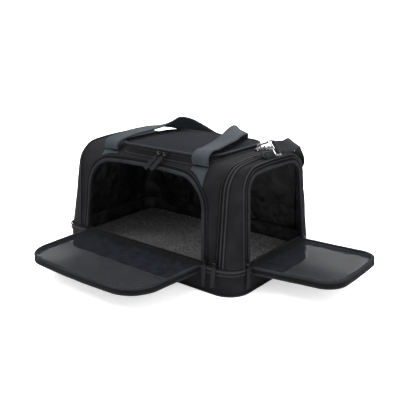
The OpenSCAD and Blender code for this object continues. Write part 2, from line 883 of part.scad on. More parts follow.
strap_route = [
    [[229.4, 19.8, 258.8], [0.528, -0.253, 0.81]], [[233.5, 29, 259.6], [0.528, -0.253, 0.81]],
    [[233.5, 43, 262], [0.48, -0.05, 0.87]], [[229.5, 60, 260], [0.45, 0.3, 0.85]],
    [[224, 77, 251], [0.45, 0.6, 0.65]], [[218, 96, 240], [0.4, 0.75, 0.5]],
    [[211, 115, 226], [0.35, 0.88, 0.35]], [[203, 128.5, 209], [0.2, 0.95, 0.2]],
    hanging(193, 133.5, [0.05, 1, 0.1]), hanging(178, 137, [0.1, 1, 0]), hanging(158, 141, [0.3, 0.95, -0.1]),
    hanging(132, 149, [0.5, 0.8, -0.3]), hanging(102, 157, [0.6, 0.55, -0.55]),
    hanging(68, 164, [0.35, 0.35, -0.87]), hanging(34, 166, [0.15, 0.3, -0.95]),
    hanging(0, 165, [0, 0.3, -1]),
    [[-28, 165.5, 33.5], [-0.15, 0.3, -0.95]], [[-58, 163, 40.5], [-0.3, 0.4, -0.87]],
    [[-92, 159, 50], [-0.4, 0.6, -0.7]], [[-125, 154, 61], [-0.3, 0.85, -0.4]],
    [[-155, 149, 72], [-0.15, 0.97, -0.1]], [[-180, 143.5, 82], [-0.15, 1, 0]],
    [[-199, 137, 91], [-0.5, 0.87, 0.05]], [[-216.5, 129.5, 101], [-0.75, 0.66, 0.1]],
    [[-227, 114, 112], [-0.93, 0.35, 0.12]], [[-231, 98, 124], [-1, 0.1, 0.15]],
    [[-231, 82, 137], [-1, 0, 0.18]], [[-230, 66, 150], [-1, 0, 0.2]],
    [[-228.7, 52, 163], [-0.978, 0, 0.208]]
];

module shoulder_strap() {
    color(webbing) ribbon(strap_route, strap_w, strap_t, 2);
}

// The three-bar slide that sets the strap's length
module strap_adjuster() {
    half = strap_w / 2 + 2;
    color(wire) translate([0, 165, strap_low]) rotate([17, 0, 0]) {
        for (x = [-11, 0, 11])
            rod([x, -half, x == 0 ? 3 : -3], [x, half, x == 0 ? 3 : -3], 1.5);
        for (y = [-1, 1]) translate([0, y * (strap_w / 2 + 3), 0]) cube([26, 2.4, 9], center = true);
    }
}

// ---------------------------------------------------------------- parts

bottom_panel();
base_board();
base_band();
base_piping();
rim_ledge();
front_panel();
back_panel();
top_panel();
left_gusset();
right_gusset();
left_end_panel();
right_end_frame();
hoop_piping();
frame_hoops();
front_binding();
front_zip_tape();
end_binding();
end_zip_tape();
expansion_zip_tape();
lid_curb();
front_handle_patches();
rear_handle_patches();
fleece_mat();
ring_tab_right();
ring_tab_left();
shoulder_strap();
strap_adjuster();
front_door_mesh();
front_door_binding();
front_door_tape();
end_door_mesh();
end_door_binding();
end_door_tape();
lid_mesh();
lid_binding();
lid_zip_tape();
front_handle();
rear_handle();
front_zip_slider();
front_zip_pull();
end_zip_slider();
end_zip_pull();
expansion_zip_slider();
expansion_zip_pull();
lid_zip_slider_left();
lid_zip_pull_left();
lid_zip_slider_right();
lid_zip_pull_right();
ring_right();
swivel_eye_right();
strap_end_right();
hook_right();
gate_right();
ring_left();
swivel_eye_left();
strap_end_left();
hook_left();
gate_left();
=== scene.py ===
"""Looks of a soft-sided pet carrier bag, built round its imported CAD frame.

Lengths are written in millimetres and become metres when a mesh is made.
"""
import json
import math

import bpy
from mathutils import Matrix, Vector, geometry, noise


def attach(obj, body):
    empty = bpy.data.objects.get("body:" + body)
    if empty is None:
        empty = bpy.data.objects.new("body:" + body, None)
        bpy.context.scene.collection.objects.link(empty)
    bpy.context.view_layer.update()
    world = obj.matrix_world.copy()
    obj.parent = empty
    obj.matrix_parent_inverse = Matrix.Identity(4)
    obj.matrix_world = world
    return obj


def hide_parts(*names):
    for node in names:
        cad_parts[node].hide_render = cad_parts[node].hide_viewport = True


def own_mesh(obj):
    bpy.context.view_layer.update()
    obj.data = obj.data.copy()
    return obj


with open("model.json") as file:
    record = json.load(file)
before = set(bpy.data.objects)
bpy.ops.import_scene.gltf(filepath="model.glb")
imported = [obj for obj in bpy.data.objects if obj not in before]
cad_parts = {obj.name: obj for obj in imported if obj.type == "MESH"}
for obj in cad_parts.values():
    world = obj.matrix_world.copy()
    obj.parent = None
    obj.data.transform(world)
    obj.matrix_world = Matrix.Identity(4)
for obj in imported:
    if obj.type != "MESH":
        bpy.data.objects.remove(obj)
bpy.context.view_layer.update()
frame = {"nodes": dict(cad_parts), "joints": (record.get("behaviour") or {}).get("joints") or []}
nodes = frame["nodes"]
scene = bpy.context.scene
MM = 0.001
UP = Vector((0, 0, 1))
sin, cos, tan, pi, rad = math.sin, math.cos, math.tan, math.pi, math.radians


# ---- camera, light and floor

CAMERA_AT = (0.8181, -0.9558, 0.4974)
CAMERA_AZIMUTH, CAMERA_ELEVATION, CAMERA_LENS = rad(38.3), rad(17.7), 52.45
SKY_STRENGTH, FLOOR_GLOW, FLOOR_HALF = 1.05, 0.5, 9
LAMPS = (  # name, place, diameter, power, and the point it looks at
    ("key", (-0.9, -1.3, 1.7), 0.9, 24, (0, 0, 0.1)),
    ("fill", (1.5, -0.7, 0.9), 0.8, 8, (0.1, 0, 0.1)),
    ("rim", (-0.6, 1.4, 1.3), 0.8, 20, (0, 0, 0.2)),
    ("top", (0.2, 0.1, 1.9), 1.0, 60, (0, 0, 0)),
)


def set_camera():
    cam = bpy.data.cameras.new("camera")
    cam.lens, cam.sensor_width = CAMERA_LENS, 36.0
    cam.clip_start, cam.clip_end = 0.05, 20.0
    obj = bpy.data.objects.new("camera", cam)
    az, el = CAMERA_AZIMUTH, CAMERA_ELEVATION
    back = Vector((sin(az) * cos(el), -cos(az) * cos(el), sin(el)))
    obj.location = CAMERA_AT
    obj.rotation_euler = back.to_track_quat("Z", "Y").to_euler()
    scene.collection.objects.link(obj)
    scene.camera = obj


def set_lights():
    world = bpy.data.worlds.new("studio")
    world.use_nodes = True
    sky = world.node_tree.nodes["Background"].inputs
    sky["Color"].default_value = (1, 1, 1, 1)
    sky["Strength"].default_value = SKY_STRENGTH
    scene.world = world
    scene.view_settings.view_transform = "Standard"
    for name, place, size, power, aim in LAMPS:
        light = bpy.data.lights.new(name, "AREA")
        light.shape, light.size, light.energy = "DISK", size, power
        lamp = bpy.data.objects.new(name, light)
        lamp.location = place
        lamp.rotation_euler = (Vector(place) - Vector(aim)).to_track_quat("Z", "Y").to_euler()
        scene.collection.objects.link(lamp)


set_camera()
set_lights()


# ---- materials

class Nodes:
    """Short calls that add linked shader nodes to one material."""

    def __init__(self, name):
        self.mat = bpy.data.materials.new(name)
        self.mat.use_nodes = True
        self.tree = self.mat.node_tree
        self.bsdf = self.tree.nodes["Principled BSDF"]

    def add(self, kind, inputs=(), **props):
        node = self.tree.nodes.new("ShaderNode" + kind)
        for key, value in props.items():
            setattr(node, key, value)
        for key, value in dict(inputs).items():
            if isinstance(value, bpy.types.NodeSocket):
                self.tree.links.new(value, node.inputs[key])
            else:
                node.inputs[key].default_value = value
        return node

    def math(self, op, a, b=0.0):
        return self.add("Math", {0: a, 1: b}, operation=op).outputs[0]

    def uv(self):
        coord = self.add("TexCoord")
        parts = self.add("SeparateXYZ", {0: coord.outputs["UV"]})
        return coord, parts.outputs["X"], parts.outputs["Y"]

    def noise(self, vector, scale, detail=3.0, rough=0.55):
        return self.add("TexNoise", {"Vector": vector, "Scale": scale, "Detail": detail,
                                     "Roughness": rough}).outputs["Fac"]

    def ramp(self, fac, stops):
        node = self.add("ValToRGB", {"Fac": fac})
        line = node.color_ramp
        while len(line.elements) < len(stops):
            line.elements.new(0.5)
        for element, (place, color) in zip(line.elements, stops):
            element.position = place
            element.color = (*color, 1)
        return node.outputs["Color"]

    def span(self, value, a, b, c, d):
        return self.add("MapRange", {"Value": value, "From Min": a, "From Max": b,
                                     "To Min": c, "To Max": d}).outputs["Result"]

    def set(self, values):
        for name, value in values.items():
            self.bsdf.inputs[name].default_value = value

    def link(self, socket, name):
        self.tree.links.new(socket, self.bsdf.inputs[name])

    def bump(self, height, distance, strength=0.6, under=None):
        inputs = {"Height": height, "Distance": distance, "Strength": strength}
        if under:
            inputs["Normal"] = under
        self.link(self.add("Bump", inputs).outputs["Normal"], "Normal")


def set_floor():
    """A plain floor that glows a little, which keeps the shadows on it soft and pale."""
    corners = [(x * FLOOR_HALF, y * FLOOR_HALF, 0) for x, y in ((-1, -1), (1, -1), (1, 1), (-1, 1))]
    mesh = bpy.data.meshes.new("floor")
    mesh.from_pydata(corners, [], [(0, 1, 2, 3)])
    floor = bpy.data.objects.new("floor", mesh)
    scene.collection.objects.link(floor)
    n = Nodes("floor_white")
    n.set({"Roughness": 0.9, "Specular IOR Level": 0.0, "Emission Color": (1, 1, 1, 1),
           "Emission Strength": FLOOR_GLOW})
    grain = n.add("TexNoise", {"Scale": 3.0}).outputs["Fac"]
    n.link(n.ramp(grain, [(0.0, (0.93, 0.93, 0.93)), (1.0, (0.95, 0.95, 0.95))]), "Base Color")
    mesh.materials.append(n.mat)


set_floor()


def wave(n, value, pitch):
    """A sine of the coordinate, one cycle to each pitch metres."""
    return n.math("SINE", n.math("MULTIPLY", value, 2 * pi / pitch))


def tint(color, k):
    return tuple(min(1.0, c * k) for c in color)


def cloth(name, color, pitch, weave, depth=0.00015, sheen=0.008, rough=0.82, wear=1.8, spec=0.05,
          crumple=0.0):
    """Woven cloth, pitch metres from thread to thread. UV is in metres, u across and v along."""
    n = Nodes(name)
    coord, u, v = n.uv()
    if weave == "twill":
        a = wave(n, n.math("ADD", u, v), pitch)
        b = wave(n, n.math("SUBTRACT", u, v), pitch * 0.5)
        height = n.math("ADD", a, n.math("MULTIPLY", b, 0.35))
    elif weave == "rib":
        a = wave(n, v, pitch)
        height = n.math("ADD", a, n.math("MULTIPLY", wave(n, u, pitch * 0.7), 0.25))
    elif weave == "webbing":
        zig = n.math("PINGPONG", u, pitch * 3)
        a = wave(n, n.math("ADD", n.math("MULTIPLY", zig, 0.9), v), pitch * 1.5)
        b = wave(n, u, pitch)
        height = n.math("ADD", a, n.math("MULTIPLY", b, 0.7))
    else:
        height = n.math("MULTIPLY", wave(n, u, pitch), wave(n, v, pitch))
    obj = coord.outputs["Object"]
    blotch = n.noise(obj, 22.0, 4.0)
    fleck = n.noise(obj, 900.0, 2.0, 0.7)
    mixed = n.math("ADD", n.math("MULTIPLY", blotch, 0.55), n.math("MULTIPLY", fleck, 0.45))
    thread = n.math("ADD", mixed, n.math("MULTIPLY", height, 0.09))
    shade = n.ramp(thread, [(0.27, tint(color, 0.45)), (0.5, color), (0.7, tint(color, wear))])
    n.link(shade, "Base Color")
    n.link(n.span(blotch, 0.3, 0.7, rough - 0.08, rough + 0.08), "Roughness")
    n.set({"Sheen Weight": sheen, "Sheen Roughness": 0.45, "Specular IOR Level": spec})
    folds = None
    if crumple:
        creases = n.math("ABSOLUTE", n.math("SUBTRACT", n.noise(obj, 13.0, 2.0, 0.5), 0.5))
        crease = n.add("Bump", {"Height": creases, "Distance": crumple, "Strength": 1.0})
        folds = crease.outputs["Normal"]
    n.bump(n.math("ADD", height, n.math("MULTIPLY", fleck, 0.8)), depth, under=folds)
    return n.mat


def netting(name, color, pitch, hole):
    """Knitted mesh cloth, open wherever the product of its two waves is above hole."""
    n = Nodes(name)
    coord, u, v = n.uv()
    a = n.math("COSINE", n.math("MULTIPLY", u, 2 * pi / pitch))
    b = n.math("COSINE", n.math("MULTIPLY", v, 2 * pi / (pitch * 0.6)))
    eyes = n.math("MULTIPLY", a, b)
    solid = n.span(eyes, hole, hole - 0.1, 0.0, 1.0)
    blotch = n.noise(coord.outputs["Object"], 60.0)
    shade = n.math("ADD", blotch, n.math("MULTIPLY", a, -0.12))
    n.link(n.ramp(shade, [(0.3, tint(color, 0.45)), (0.7, tint(color, 1.7))]), "Base Color")
    n.link(n.span(blotch, 0.3, 0.7, 0.75, 0.9), "Roughness")
    n.link(solid, "Alpha")
    n.set({"Sheen Weight": 0.005, "Specular IOR Level": 0.03})
    n.bump(n.math("MULTIPLY", eyes, -1.0), 0.0003)
    return n.mat


def pile(name, color):
    """Short heather fleece."""
    n = Nodes(name)
    coord = n.add("TexCoord").outputs["Object"]
    fine = n.noise(coord, 900.0, 3.0, 0.8)
    mid = n.noise(coord, 380.0, 2.0, 0.6)
    wide = n.noise(coord, 16.0, 3.0)
    value = n.math("ADD", n.math("MULTIPLY", fine, 0.22), n.math("MULTIPLY", mid, 0.68))
    value = n.math("ADD", value, n.math("MULTIPLY", wide, 0.1))
    heather = [(0.40, tint(color, 0.2)), (0.5, color), (0.6, tint(color, 2.6))]
    n.link(n.ramp(value, heather), "Base Color")
    n.link(n.span(mid, 0.3, 0.7, 0.88, 1.0), "Roughness")
    n.set({"Sheen Weight": 0.03, "Sheen Roughness": 0.6, "Specular IOR Level": 0.05})
    n.bump(value, 0.0022, 0.9)
    return n.mat


def hard(name, color, rough, metal=0.0, scratch=0.08, spec=0.5):
    """Moulded, painted or plated: fine grain, uneven gloss and light scratches."""
    n = Nodes(name)
    coord = n.add("TexCoord").outputs["Object"]
    fine = n.noise(coord, 600.0, 4.0, 0.7)
    wide = n.noise(coord, 70.0, 4.0)
    n.link(n.ramp(wide, [(0.3, tint(color, 0.8)), (0.7, tint(color, 1.2))]), "Base Color")
    n.link(n.span(fine, 0.3, 0.7, max(0.04, rough - scratch), rough + scratch), "Roughness")
    n.set({"Metallic": metal, "Specular IOR Level": spec})
    n.bump(fine, 0.00004, 0.4)
    return n.mat


BODY = cloth("body_fabric", (0.0062, 0.0062, 0.0070), 0.0021, "twill", depth=0.0005, wear=2.3)
LINING = cloth("lining_fabric", (0.0052, 0.0052, 0.0058), 0.0006, "plain", rough=0.38, spec=0.35,
               crumple=0.03)
TRIM = cloth("trim_fabric", (0.0105, 0.0109, 0.0124), 0.0011, "rib")
PIPING = cloth("piping_fabric", (0.0135, 0.0138, 0.0155), 0.0010, "twill", spec=0.15)
TAPE = cloth("zip_tape", (0.0032, 0.0032, 0.0035), 0.0008, "rib")
COIL = hard("zip_coil", (0.0035, 0.0035, 0.0037), 0.45, spec=0.15)
NET = netting("mesh_fabric", (0.0044, 0.0051, 0.0070), 0.0042, 0.9)
STRAP = cloth("webbing", (0.0190, 0.0230, 0.0280), 0.0016, "webbing", depth=0.0003, sheen=0.02,
              spec=0.1)
SLING = cloth("sling_webbing", (0.0085, 0.0092, 0.0105), 0.0014, "webbing", depth=0.0003, spec=0.1)
PULL = cloth("pull_fabric", (0.0095, 0.0098, 0.0108), 0.0011, "rib")
THREAD = cloth("thread", (0.022, 0.023, 0.026), 0.0005, "rib")
FLEECE = pile("fleece", (0.054, 0.054, 0.056))
ENAMEL = hard("slider_metal", (0.007, 0.007, 0.0073), 0.3, 0.6)
RING = hard("ring_metal", (0.016, 0.016, 0.018), 0.33, 0.4, spec=0.3)
CHROME = hard("hook_metal", (0.17, 0.17, 0.18), 0.25, 1.0, 0.05)
BOARD = hard("base_board", (0.006, 0.006, 0.006), 0.6, spec=0.2)
PLASTIC = hard("adjuster_plastic", (0.005, 0.005, 0.0053), 0.42, spec=0.3)


# ---- mesh helpers

def make(name, verts, faces, mat, body, uvs, lining=None, kinds=None):
    """verts in millimetres; uvs, a (u, v) in metres for each face corner; kinds, 1 on lining."""
    mesh = bpy.data.meshes.new(name)
    mesh.from_pydata([Vector(v) * MM for v in verts], [], faces)
    mesh.materials.append(mat)
    if kinds:
        mesh.materials.append(lining or mat)
        mesh.polygons.foreach_set("material_index", kinds)
    layer = mesh.uv_layers.new(name="UVMap")
    layer.data.foreach_set("uv", [c for pair in uvs for c in pair])
    mesh.polygons.foreach_set("use_smooth", [True] * len(mesh.polygons))
    mesh.validate()
    mesh.update()
    obj = bpy.data.objects.new(name, mesh)
    scene.collection.objects.link(obj)
    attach(obj, body)
    return obj


def paint(names, mat):
    """Gives CAD nodes that are shown as they are a better material."""
    for name in names:
        data = nodes[name].data
        data.materials.clear()
        data.materials.append(mat)


def grid_faces(rows, cols, us, vs, wrap=False, flip=False, base=0):
    """Faces and corner uvs of a rows by cols grid of points, row by row."""
    faces, uvs = [], []
    for i in range(rows - 1):
        for k in range(cols if wrap else cols - 1):
            q = (k + 1) % cols
            ids = [(i, k), (i, q), (i + 1, q), (i + 1, k)]
            corner = [(us[k], vs[i]), (us[k + 1], vs[i]), (us[k + 1], vs[i + 1]), (us[k], vs[i + 1])]
            if flip:
                ids, corner = ids[::-1], corner[::-1]
            faces.append([base + r * cols + c for r, c in ids])
            uvs += corner
    return faces, uvs


def lengths(path):
    out = [0.0]
    for a, b in zip(path, path[1:]):
        out.append(out[-1] + (b - a).length)
    return out


def sweep(name, path, ups, profile, mat, body, slot, closed=False, scale=None):
    """A profile of (side, up) points swept along path; up follows ups."""
    n, m = len(path), len(profile)
    verts = []
    for i in range(n):
        a = path[i - 1] if i or closed else path[0]
        b = path[(i + 1) % n] if i < n - 1 or closed else path[-1]
        t = (b - a).normalized()
        side = t.cross(ups[i]).normalized()
        up = side.cross(t)
        k = scale[i] if scale else 1.0
        verts += [path[i] + side * (p[0] * k) + up * (p[1] * k) for p in profile]
    loop = [Vector((*p, 0)) for p in profile]
    us = [x * MM for x in lengths(loop + loop[:1])]
    vs = [x * MM for x in lengths(path + path[:1] if closed else path)]
    faces, uvs = grid_faces(n, m, us, vs, wrap=True)
    if closed:
        for k in range(m):
            q = (k + 1) % m
            faces.append([(n - 1) * m + k, (n - 1) * m + q, q, k])
            uvs += [(us[k], vs[n - 1]), (us[k + 1], vs[n - 1]), (us[k + 1], vs[n]), (us[k], vs[n])]
    else:
        flat = [(x * MM, y * MM) for x, y in profile]
        faces += [list(range(m))[::-1], [(n - 1) * m + k for k in range(m)]]
        uvs += flat[::-1] + flat
    return make(name, verts, faces, mat, body, uvs)


def piping(name, path, ups, r, body="bag", closed=False, sides=10):
    return sweep(name, path, ups, oval(r, r, sides), PIPING, body, "trim_fabric", closed)


def oval(a, b, count=14, power=2.0):
    """A superellipse of half width a and half height b, counted so that faces look outwards."""
    out = []
    for k in range(count):
        t = 2 * pi * (k + 0.5) / count
        c, s = cos(t), sin(t)
        out.append((a * math.copysign(abs(c) ** (2 / power), c),
                    b * math.copysign(abs(s) ** (2 / power), s)))
    return out[::-1]


def tape(w, t, edge=0.35):
    """Section of a flat strip with softened, slightly thicker edges."""
    a, b = w / 2, t / 2
    top = [(-a, 0), (-a + edge, b * 1.15), (-a * 0.8, b), (-a * 0.3, b), (a * 0.3, b), (a * 0.8, b),
           (a - edge, b * 1.15), (a, 0)]
    return top + [(x, -y) for x, y in top[-2:0:-1]]


def resample(path, step, closed=False):
    """Points a nearly even step apart along a line, as (point, index, fraction)."""
    pts = path + [path[0]] if closed else path
    dist = lengths(pts)
    count = max(2, round(dist[-1] / step))
    out, i = [], 0
    for k in range(count if closed else count + 1):
        d = min(dist[-1] * k / count, dist[-1] - 1e-9)
        while dist[i + 1] < d:
            i += 1
        f = (d - dist[i]) / max(1e-9, dist[i + 1] - dist[i])
        out.append((pts[i].lerp(pts[i + 1], f), i, f))
    return out


def even(path, ups, step, closed=False):
    """Path and ups resampled to an even step."""
    both = ups + [ups[0]] if closed else ups
    rows = resample(path, step, closed)
    return [r[0] for r in rows], [both[r[1]].lerp(both[r[1] + 1], r[2]).normalized() for r in rows]


def spline(points, count):
    """A smooth curve through points, with count steps from each to the next."""
    out = []
    n = len(points) - 1
    for i in range(n):
        a, b, c, d = points[max(i - 1, 0)], points[i], points[i + 1], points[min(i + 2, n)]
        for k in range(count):
            t = k / count
            out.append((2 * b + (c - a) * t + (2 * a - 5 * b + 4 * c - d) * t * t
                        + (3 * b - a - 3 * c + d) * t ** 3) / 2)
    return out + [points[-1].copy()]


def coil(name, path, ups, body, r=1.0, pitch=1.3, closed=False):
    """Zip teeth: a nylon coil, swollen once to each pitch."""
    line, up = even(path, ups, pitch / 2, closed)
    scale = [1.0 if i % 2 else 0.7 for i in range(len(line))]
    return sweep(name, line, up, oval(r, r * 0.85, 8), COIL, body, "zip_tape", closed, scale)


def stitches(name, path, ups, body, slot="trim_fabric", pitch=4.0, length=2.8, r=0.28, lift=0.15):
    """A row of thread stitches that lie on a line, sunk at both ends."""
    line, up = even(path, ups, pitch)
    verts, faces, uvs = [], [], []
    ring = [(cos(2 * pi * k / 6), sin(2 * pi * k / 6)) for k in range(6)][::-1]
    us, vs = [0.0005 * k for k in range(7)], [0, 0.0007, 0.0021, 0.0028]
    for i in range(len(line) - 1):
        a, b = line[i], line[i + 1]
        t = (b - a).normalized()
        side = t.cross(up[i]).normalized()
        top = side.cross(t)
        mid = (a + b) / 2
        base = len(verts)
        for f, k, h in ((-0.5, 0.35, -0.6), (-0.28, 0.9, 0.7), (0.28, 0.9, 0.7), (0.5, 0.35, -0.6)):
            centre = mid + t * (f * length) + top * (lift + h * r)
            verts += [centre + side * (c * r * k * 1.25) + top * (s * r * k) for c, s in ring]
        more, corners = grid_faces(4, 6, us, vs, True, base=base)
        faces += more
        uvs += corners
    return make(name, verts, faces, THREAD, body, uvs)


def inside(p, poly):
    """Whether a point lies inside a flat outline."""
    x, y = p
    hit = False
    for (x1, y1), (x2, y2) in zip(poly, poly[1:] + poly[:1]):
        if (y1 > y) != (y2 > y) and x < (x2 - x1) * (y - y1) / (y2 - y1) + x1:
            hit = not hit
    return hit


def even2(poly, step, closed=True):
    """A flat outline resampled to an even step."""
    return [(r[0].x, r[0].y) for r in resample([Vector((*p, 0)) for p in poly], step, closed)]


def flat_cut(outline, holes, step, edge):
    """Triangles of a flat shape with holes: its points and faces."""
    rings = [even2(r, edge) for r in (outline, *holes)]
    pts, edges = [], []
    for ring in rings:
        base = len(pts)
        pts += ring
        edges += [(base + i, base + (i + 1) % len(ring)) for i in range(len(ring))]

    def in_cloth(p):
        return inside(p, rings[0]) and not any(inside(p, h) for h in rings[1:])

    cells = {}
    for p in [Vector(p) for p in pts]:
        cells.setdefault((int(p.x // step), int(p.y // step)), []).append(p)
    xs, ys = [p[0] for p in rings[0]], [p[1] for p in rings[0]]
    y, row = min(ys) + step / 2, 0
    while y < max(ys):
        x = min(xs) + (step / 2 if row % 2 else step)
        while x < max(xs):
            cx, cy = int(x // step), int(y // step)
            close = any((q - Vector((x, y))).length < edge * 0.75
                        for i in (-1, 0, 1) for k in (-1, 0, 1)
                        for q in cells.get((cx + i, cy + k), ()))
            if not close and in_cloth((x, y)):
                pts.append((x, y))
            x += step
        y += step * 0.87
        row += 1
    got = geometry.delaunay_2d_cdt([Vector(p) for p in pts], edges, [], 0, 1e-6)
    points = [(p.x, p.y) for p in got[0]]
    tris = []
    for f in got[2]:
        a, b, c = (points[i] for i in f)
        if in_cloth(((a[0] + b[0] + c[0]) / 3, (a[1] + b[1] + c[1]) / 3)):
            area = (b[0] - a[0]) * (c[1] - a[1]) - (b[1] - a[1]) * (c[0] - a[0])
            tris.append(list(f) if area > 0 else list(f)[::-1])
    return points, tris


def two_skins(pts, tris, flip=False):
    """Faces and corner uvs of a flat cut's two skins, closed along its rims."""
    n = len(pts)
    edges = dict.fromkeys((t[i], t[(i + 1) % 3]) for t in tris for i in range(3))
    faces = [list(t) for t in tris] + [[i + n for i in t[::-1]] for t in tris]
    faces += [[b, a, a + n, b + n] for a, b in edges if (b, a) not in edges]
    if flip:
        faces = [f[::-1] for f in faces]
    uv = [(u * MM, v * MM) for u, v in pts] * 2
    return faces, [uv[i] for f in faces for i in f]


def panel(name, outline, place, mat, body, thick, holes=(), step=6.0, edge=4.0, flip=False,
          lining=None):
    """A cloth panel cut flat, then laid by place(u, v, depth) on its surface."""
    pts, tris = flat_cut(outline, holes, step, edge)
    verts = [place(u, v, 0.0) for u, v in pts] + [place(u, v, thick) for u, v in pts]
    faces, uvs = two_skins(pts, tris, flip)
    skin = len(tris)
    kinds = [0] * skin + [1] * skin + [0] * (len(faces) - 2 * skin)
    return make(name, verts, faces, mat, body, uvs, lining, kinds)


def rounded(l, w, r, cx=0.0, cy=0.0, n=10):
    """A rectangle of l by w with corners of radius r, centred on cx, cy."""
    out = []
    for k, (sx, sy) in enumerate(((1, 1), (-1, 1), (-1, -1), (1, -1))):
        for i in range(n + 1):
            a = rad(90 * k + 90 * i / n)
            out.append((cx + sx * (l / 2 - r) + r * cos(a), cy + sy * (w / 2 - r) + r * sin(a)))
    return out


def soft(x, y, z, size, seed=0.0):
    """Smooth noise from about -1 to 1, with features about size millimetres across."""
    return noise.noise(Vector((x / size + seed, y / size - seed, z / size + 0.37 * seed)))


# ---- the bag's outlines, as in the CAD

class Arch:
    """Leaning sides, round shoulders and a faintly crowned top, standing on z0."""

    def __init__(self, half, z0, lean, r, top, crown):
        self.half, self.z0, self.lean, self.r, self.top, self.crown = half, z0, rad(lean), r, top, crown
        c = half - r
        for _ in range(8):
            up = top - crown + math.sqrt((crown - r) ** 2 - c * c)
            c = half - (r + (up - z0) * sin(self.lean)) / cos(self.lean)
        self.c, self.up = c, top - crown + math.sqrt((crown - r) ** 2 - c * c)
        self.phi = math.asin(c / (crown - r))

    def line(self, t=0.0, n=14, m=16, legs=12):
        """Points (y, z) over the arch, t inside it: n steps round a shoulder, m over the crown."""
        foot = (-(self.half - t / cos(self.lean)), self.z0)
        a0, a1 = self.lean, pi / 2 - self.phi
        side = [(-self.c - (self.r - t) * cos(a0 + (a1 - a0) * i / n),
                 self.up + (self.r - t) * sin(a0 + (a1 - a0) * i / n)) for i in range(n + 1)]
        top = side[0]
        leg = [(foot[0] + (top[0] - foot[0]) * i / legs, foot[1] + (top[1] - foot[1]) * i / legs)
               for i in range(legs)]
        crown = []
        for i in range(1, m):
            b = self.phi * (2 * i / m - 1)
            crown.append(((self.crown - t) * sin(b), self.top - self.crown + (self.crown - t) * cos(b)))
        left = leg + side
        return left + crown + [(-y, z) for y, z in left[::-1]]


RIM_Z = 54                                   # top of the base, where the cloth walls start
LEAN_LEFT, LEAN_RIGHT, LEAN_DOOR = 10.5, 4, 3    # degrees that the ends lean in and the end door up
LEFT, RIGHT, END = -185.0, 206.0, 235.0      # the tunnel's two seams, and the ends' feet
CLOTH_T, FRAME_W = 3.6, 17.3                 # padded cloth, and the frame round an end's opening
tunnel = Arch(138, RIM_Z, 5.2, 50, 241, 800)
front_open = Arch(158, 57, 4, 58, 211, 1500)
end_open = Arch(95, RIM_Z, 3.5, 30, 221, 900)
left_open = Arch(90, RIM_Z, 3.5, 30, 215, 900)
front_door = Arch(161, 1.5, 3, 60, 169, 1500)
end_door = Arch(99, 1.5, 3, 40, 172, 900)
LEG = (tunnel.up + tunnel.r * sin(tunnel.lean) - tunnel.z0) / cos(tunnel.lean)
TURN = tunnel.r * (pi / 2 - tunnel.phi - tunnel.lean)
CROWN = tunnel.crown * 2 * tunnel.phi
TOTAL = 2 * (LEG + TURN) + CROWN


def section(s):
    """Point (y, z) and outward direction of the tunnel, s millimetres from its front foot."""
    if s > TOTAL / 2:
        y, z, ny, nz = section(TOTAL - s)
        return -y, z, -ny, nz
    if s < LEG:
        c, k = cos(tunnel.lean), sin(tunnel.lean)
        return -tunnel.half + s * k, tunnel.z0 + s * c, -c, k
    if s < LEG + TURN:
        a = tunnel.lean + (s - LEG) / tunnel.r
        return -tunnel.c - tunnel.r * cos(a), tunnel.up + tunnel.r * sin(a), -cos(a), sin(a)
    b = (s - TOTAL / 2) / tunnel.crown
    return (tunnel.crown * sin(b), tunnel.top - tunnel.crown + tunnel.crown * cos(b), sin(b), cos(b))


def s_of_z(z):
    """Where the front of the tunnel is z high."""
    tangent = tunnel.up + tunnel.r * sin(tunnel.lean)
    if z < tangent:
        return (z - tunnel.z0) / cos(tunnel.lean)
    return LEG + tunnel.r * (math.asin(min(1, (z - tunnel.up) / tunnel.r)) - tunnel.lean)


def s_of_y(y):
    """Where the top of the tunnel is y across."""
    edge = tunnel.crown * sin(tunnel.phi)
    if abs(y) < edge:
        return TOTAL / 2 + tunnel.crown * math.asin(y / tunnel.crown)
    s = LEG + tunnel.r * (math.acos((abs(y) - tunnel.c) / tunnel.r) - tunnel.lean)
    return s if y < 0 else TOTAL - s


def sag(x, s):
    """How far the cloth lies in from the true tunnel: slack between hoops and hems, and soft dents."""
    along = max(0.0, sin(pi * (x - LEFT) / (RIGHT - LEFT)))
    around = max(0.0, sin(pi * s / TOTAL))
    slack = 0.9 * along * (0.4 + 0.6 * around)
    fade = min(1.0, min(x - LEFT, RIGHT - x) / 30.0) * min(1.0, s / 30.0, (TOTAL - s) / 30.0)
    rumple = 0.8 * soft(x, s, 0, 60, 3) + 0.35 * soft(x, s, 0, 22, 9)
    pucker = 0.25 * soft(x * 0.4, s, 0, 7, 5) * math.exp(-min(x - LEFT, RIGHT - x) / 12.0)
    return slack - rumple * max(0.0, fade) - pucker


def on_tunnel(x, s, depth=0.0):
    y, z, ny, nz = section(s)
    d = depth + sag(x, s)
    return Vector((x, y - ny * d, z - nz * d))


def tunnel_up(s):
    _, _, ny, nz = section(s)
    return Vector((0, ny, nz))


def right_x(z):
    return END - (z - RIM_Z) * tan(rad(LEAN_RIGHT))


def left_x(z):
    return -END + (z - RIM_Z) * tan(rad(LEAN_LEFT))


# ---- base

BAND_L, BAND_W, BAND_R = 474, 286, 43        # the base band's outside
FINE = {"pitch": 3.6, "length": 2.5, "r": 0.27, "lift": 0.0}    # stitches along the bindings


def loop_path(l, w, r, z=0.0, step=3.0):
    """A rounded rectangle at height z, and the direction outwards at each of its points."""
    pts = [Vector((*p, z)) for p in even2(rounded(l, w, r), step)]
    outs = []
    for i in range(len(pts)):
        t = (pts[(i + 1) % len(pts)] - pts[i - 1]).normalized()
        outs.append(Vector((t.y, -t.x, 0)))
    return pts, outs


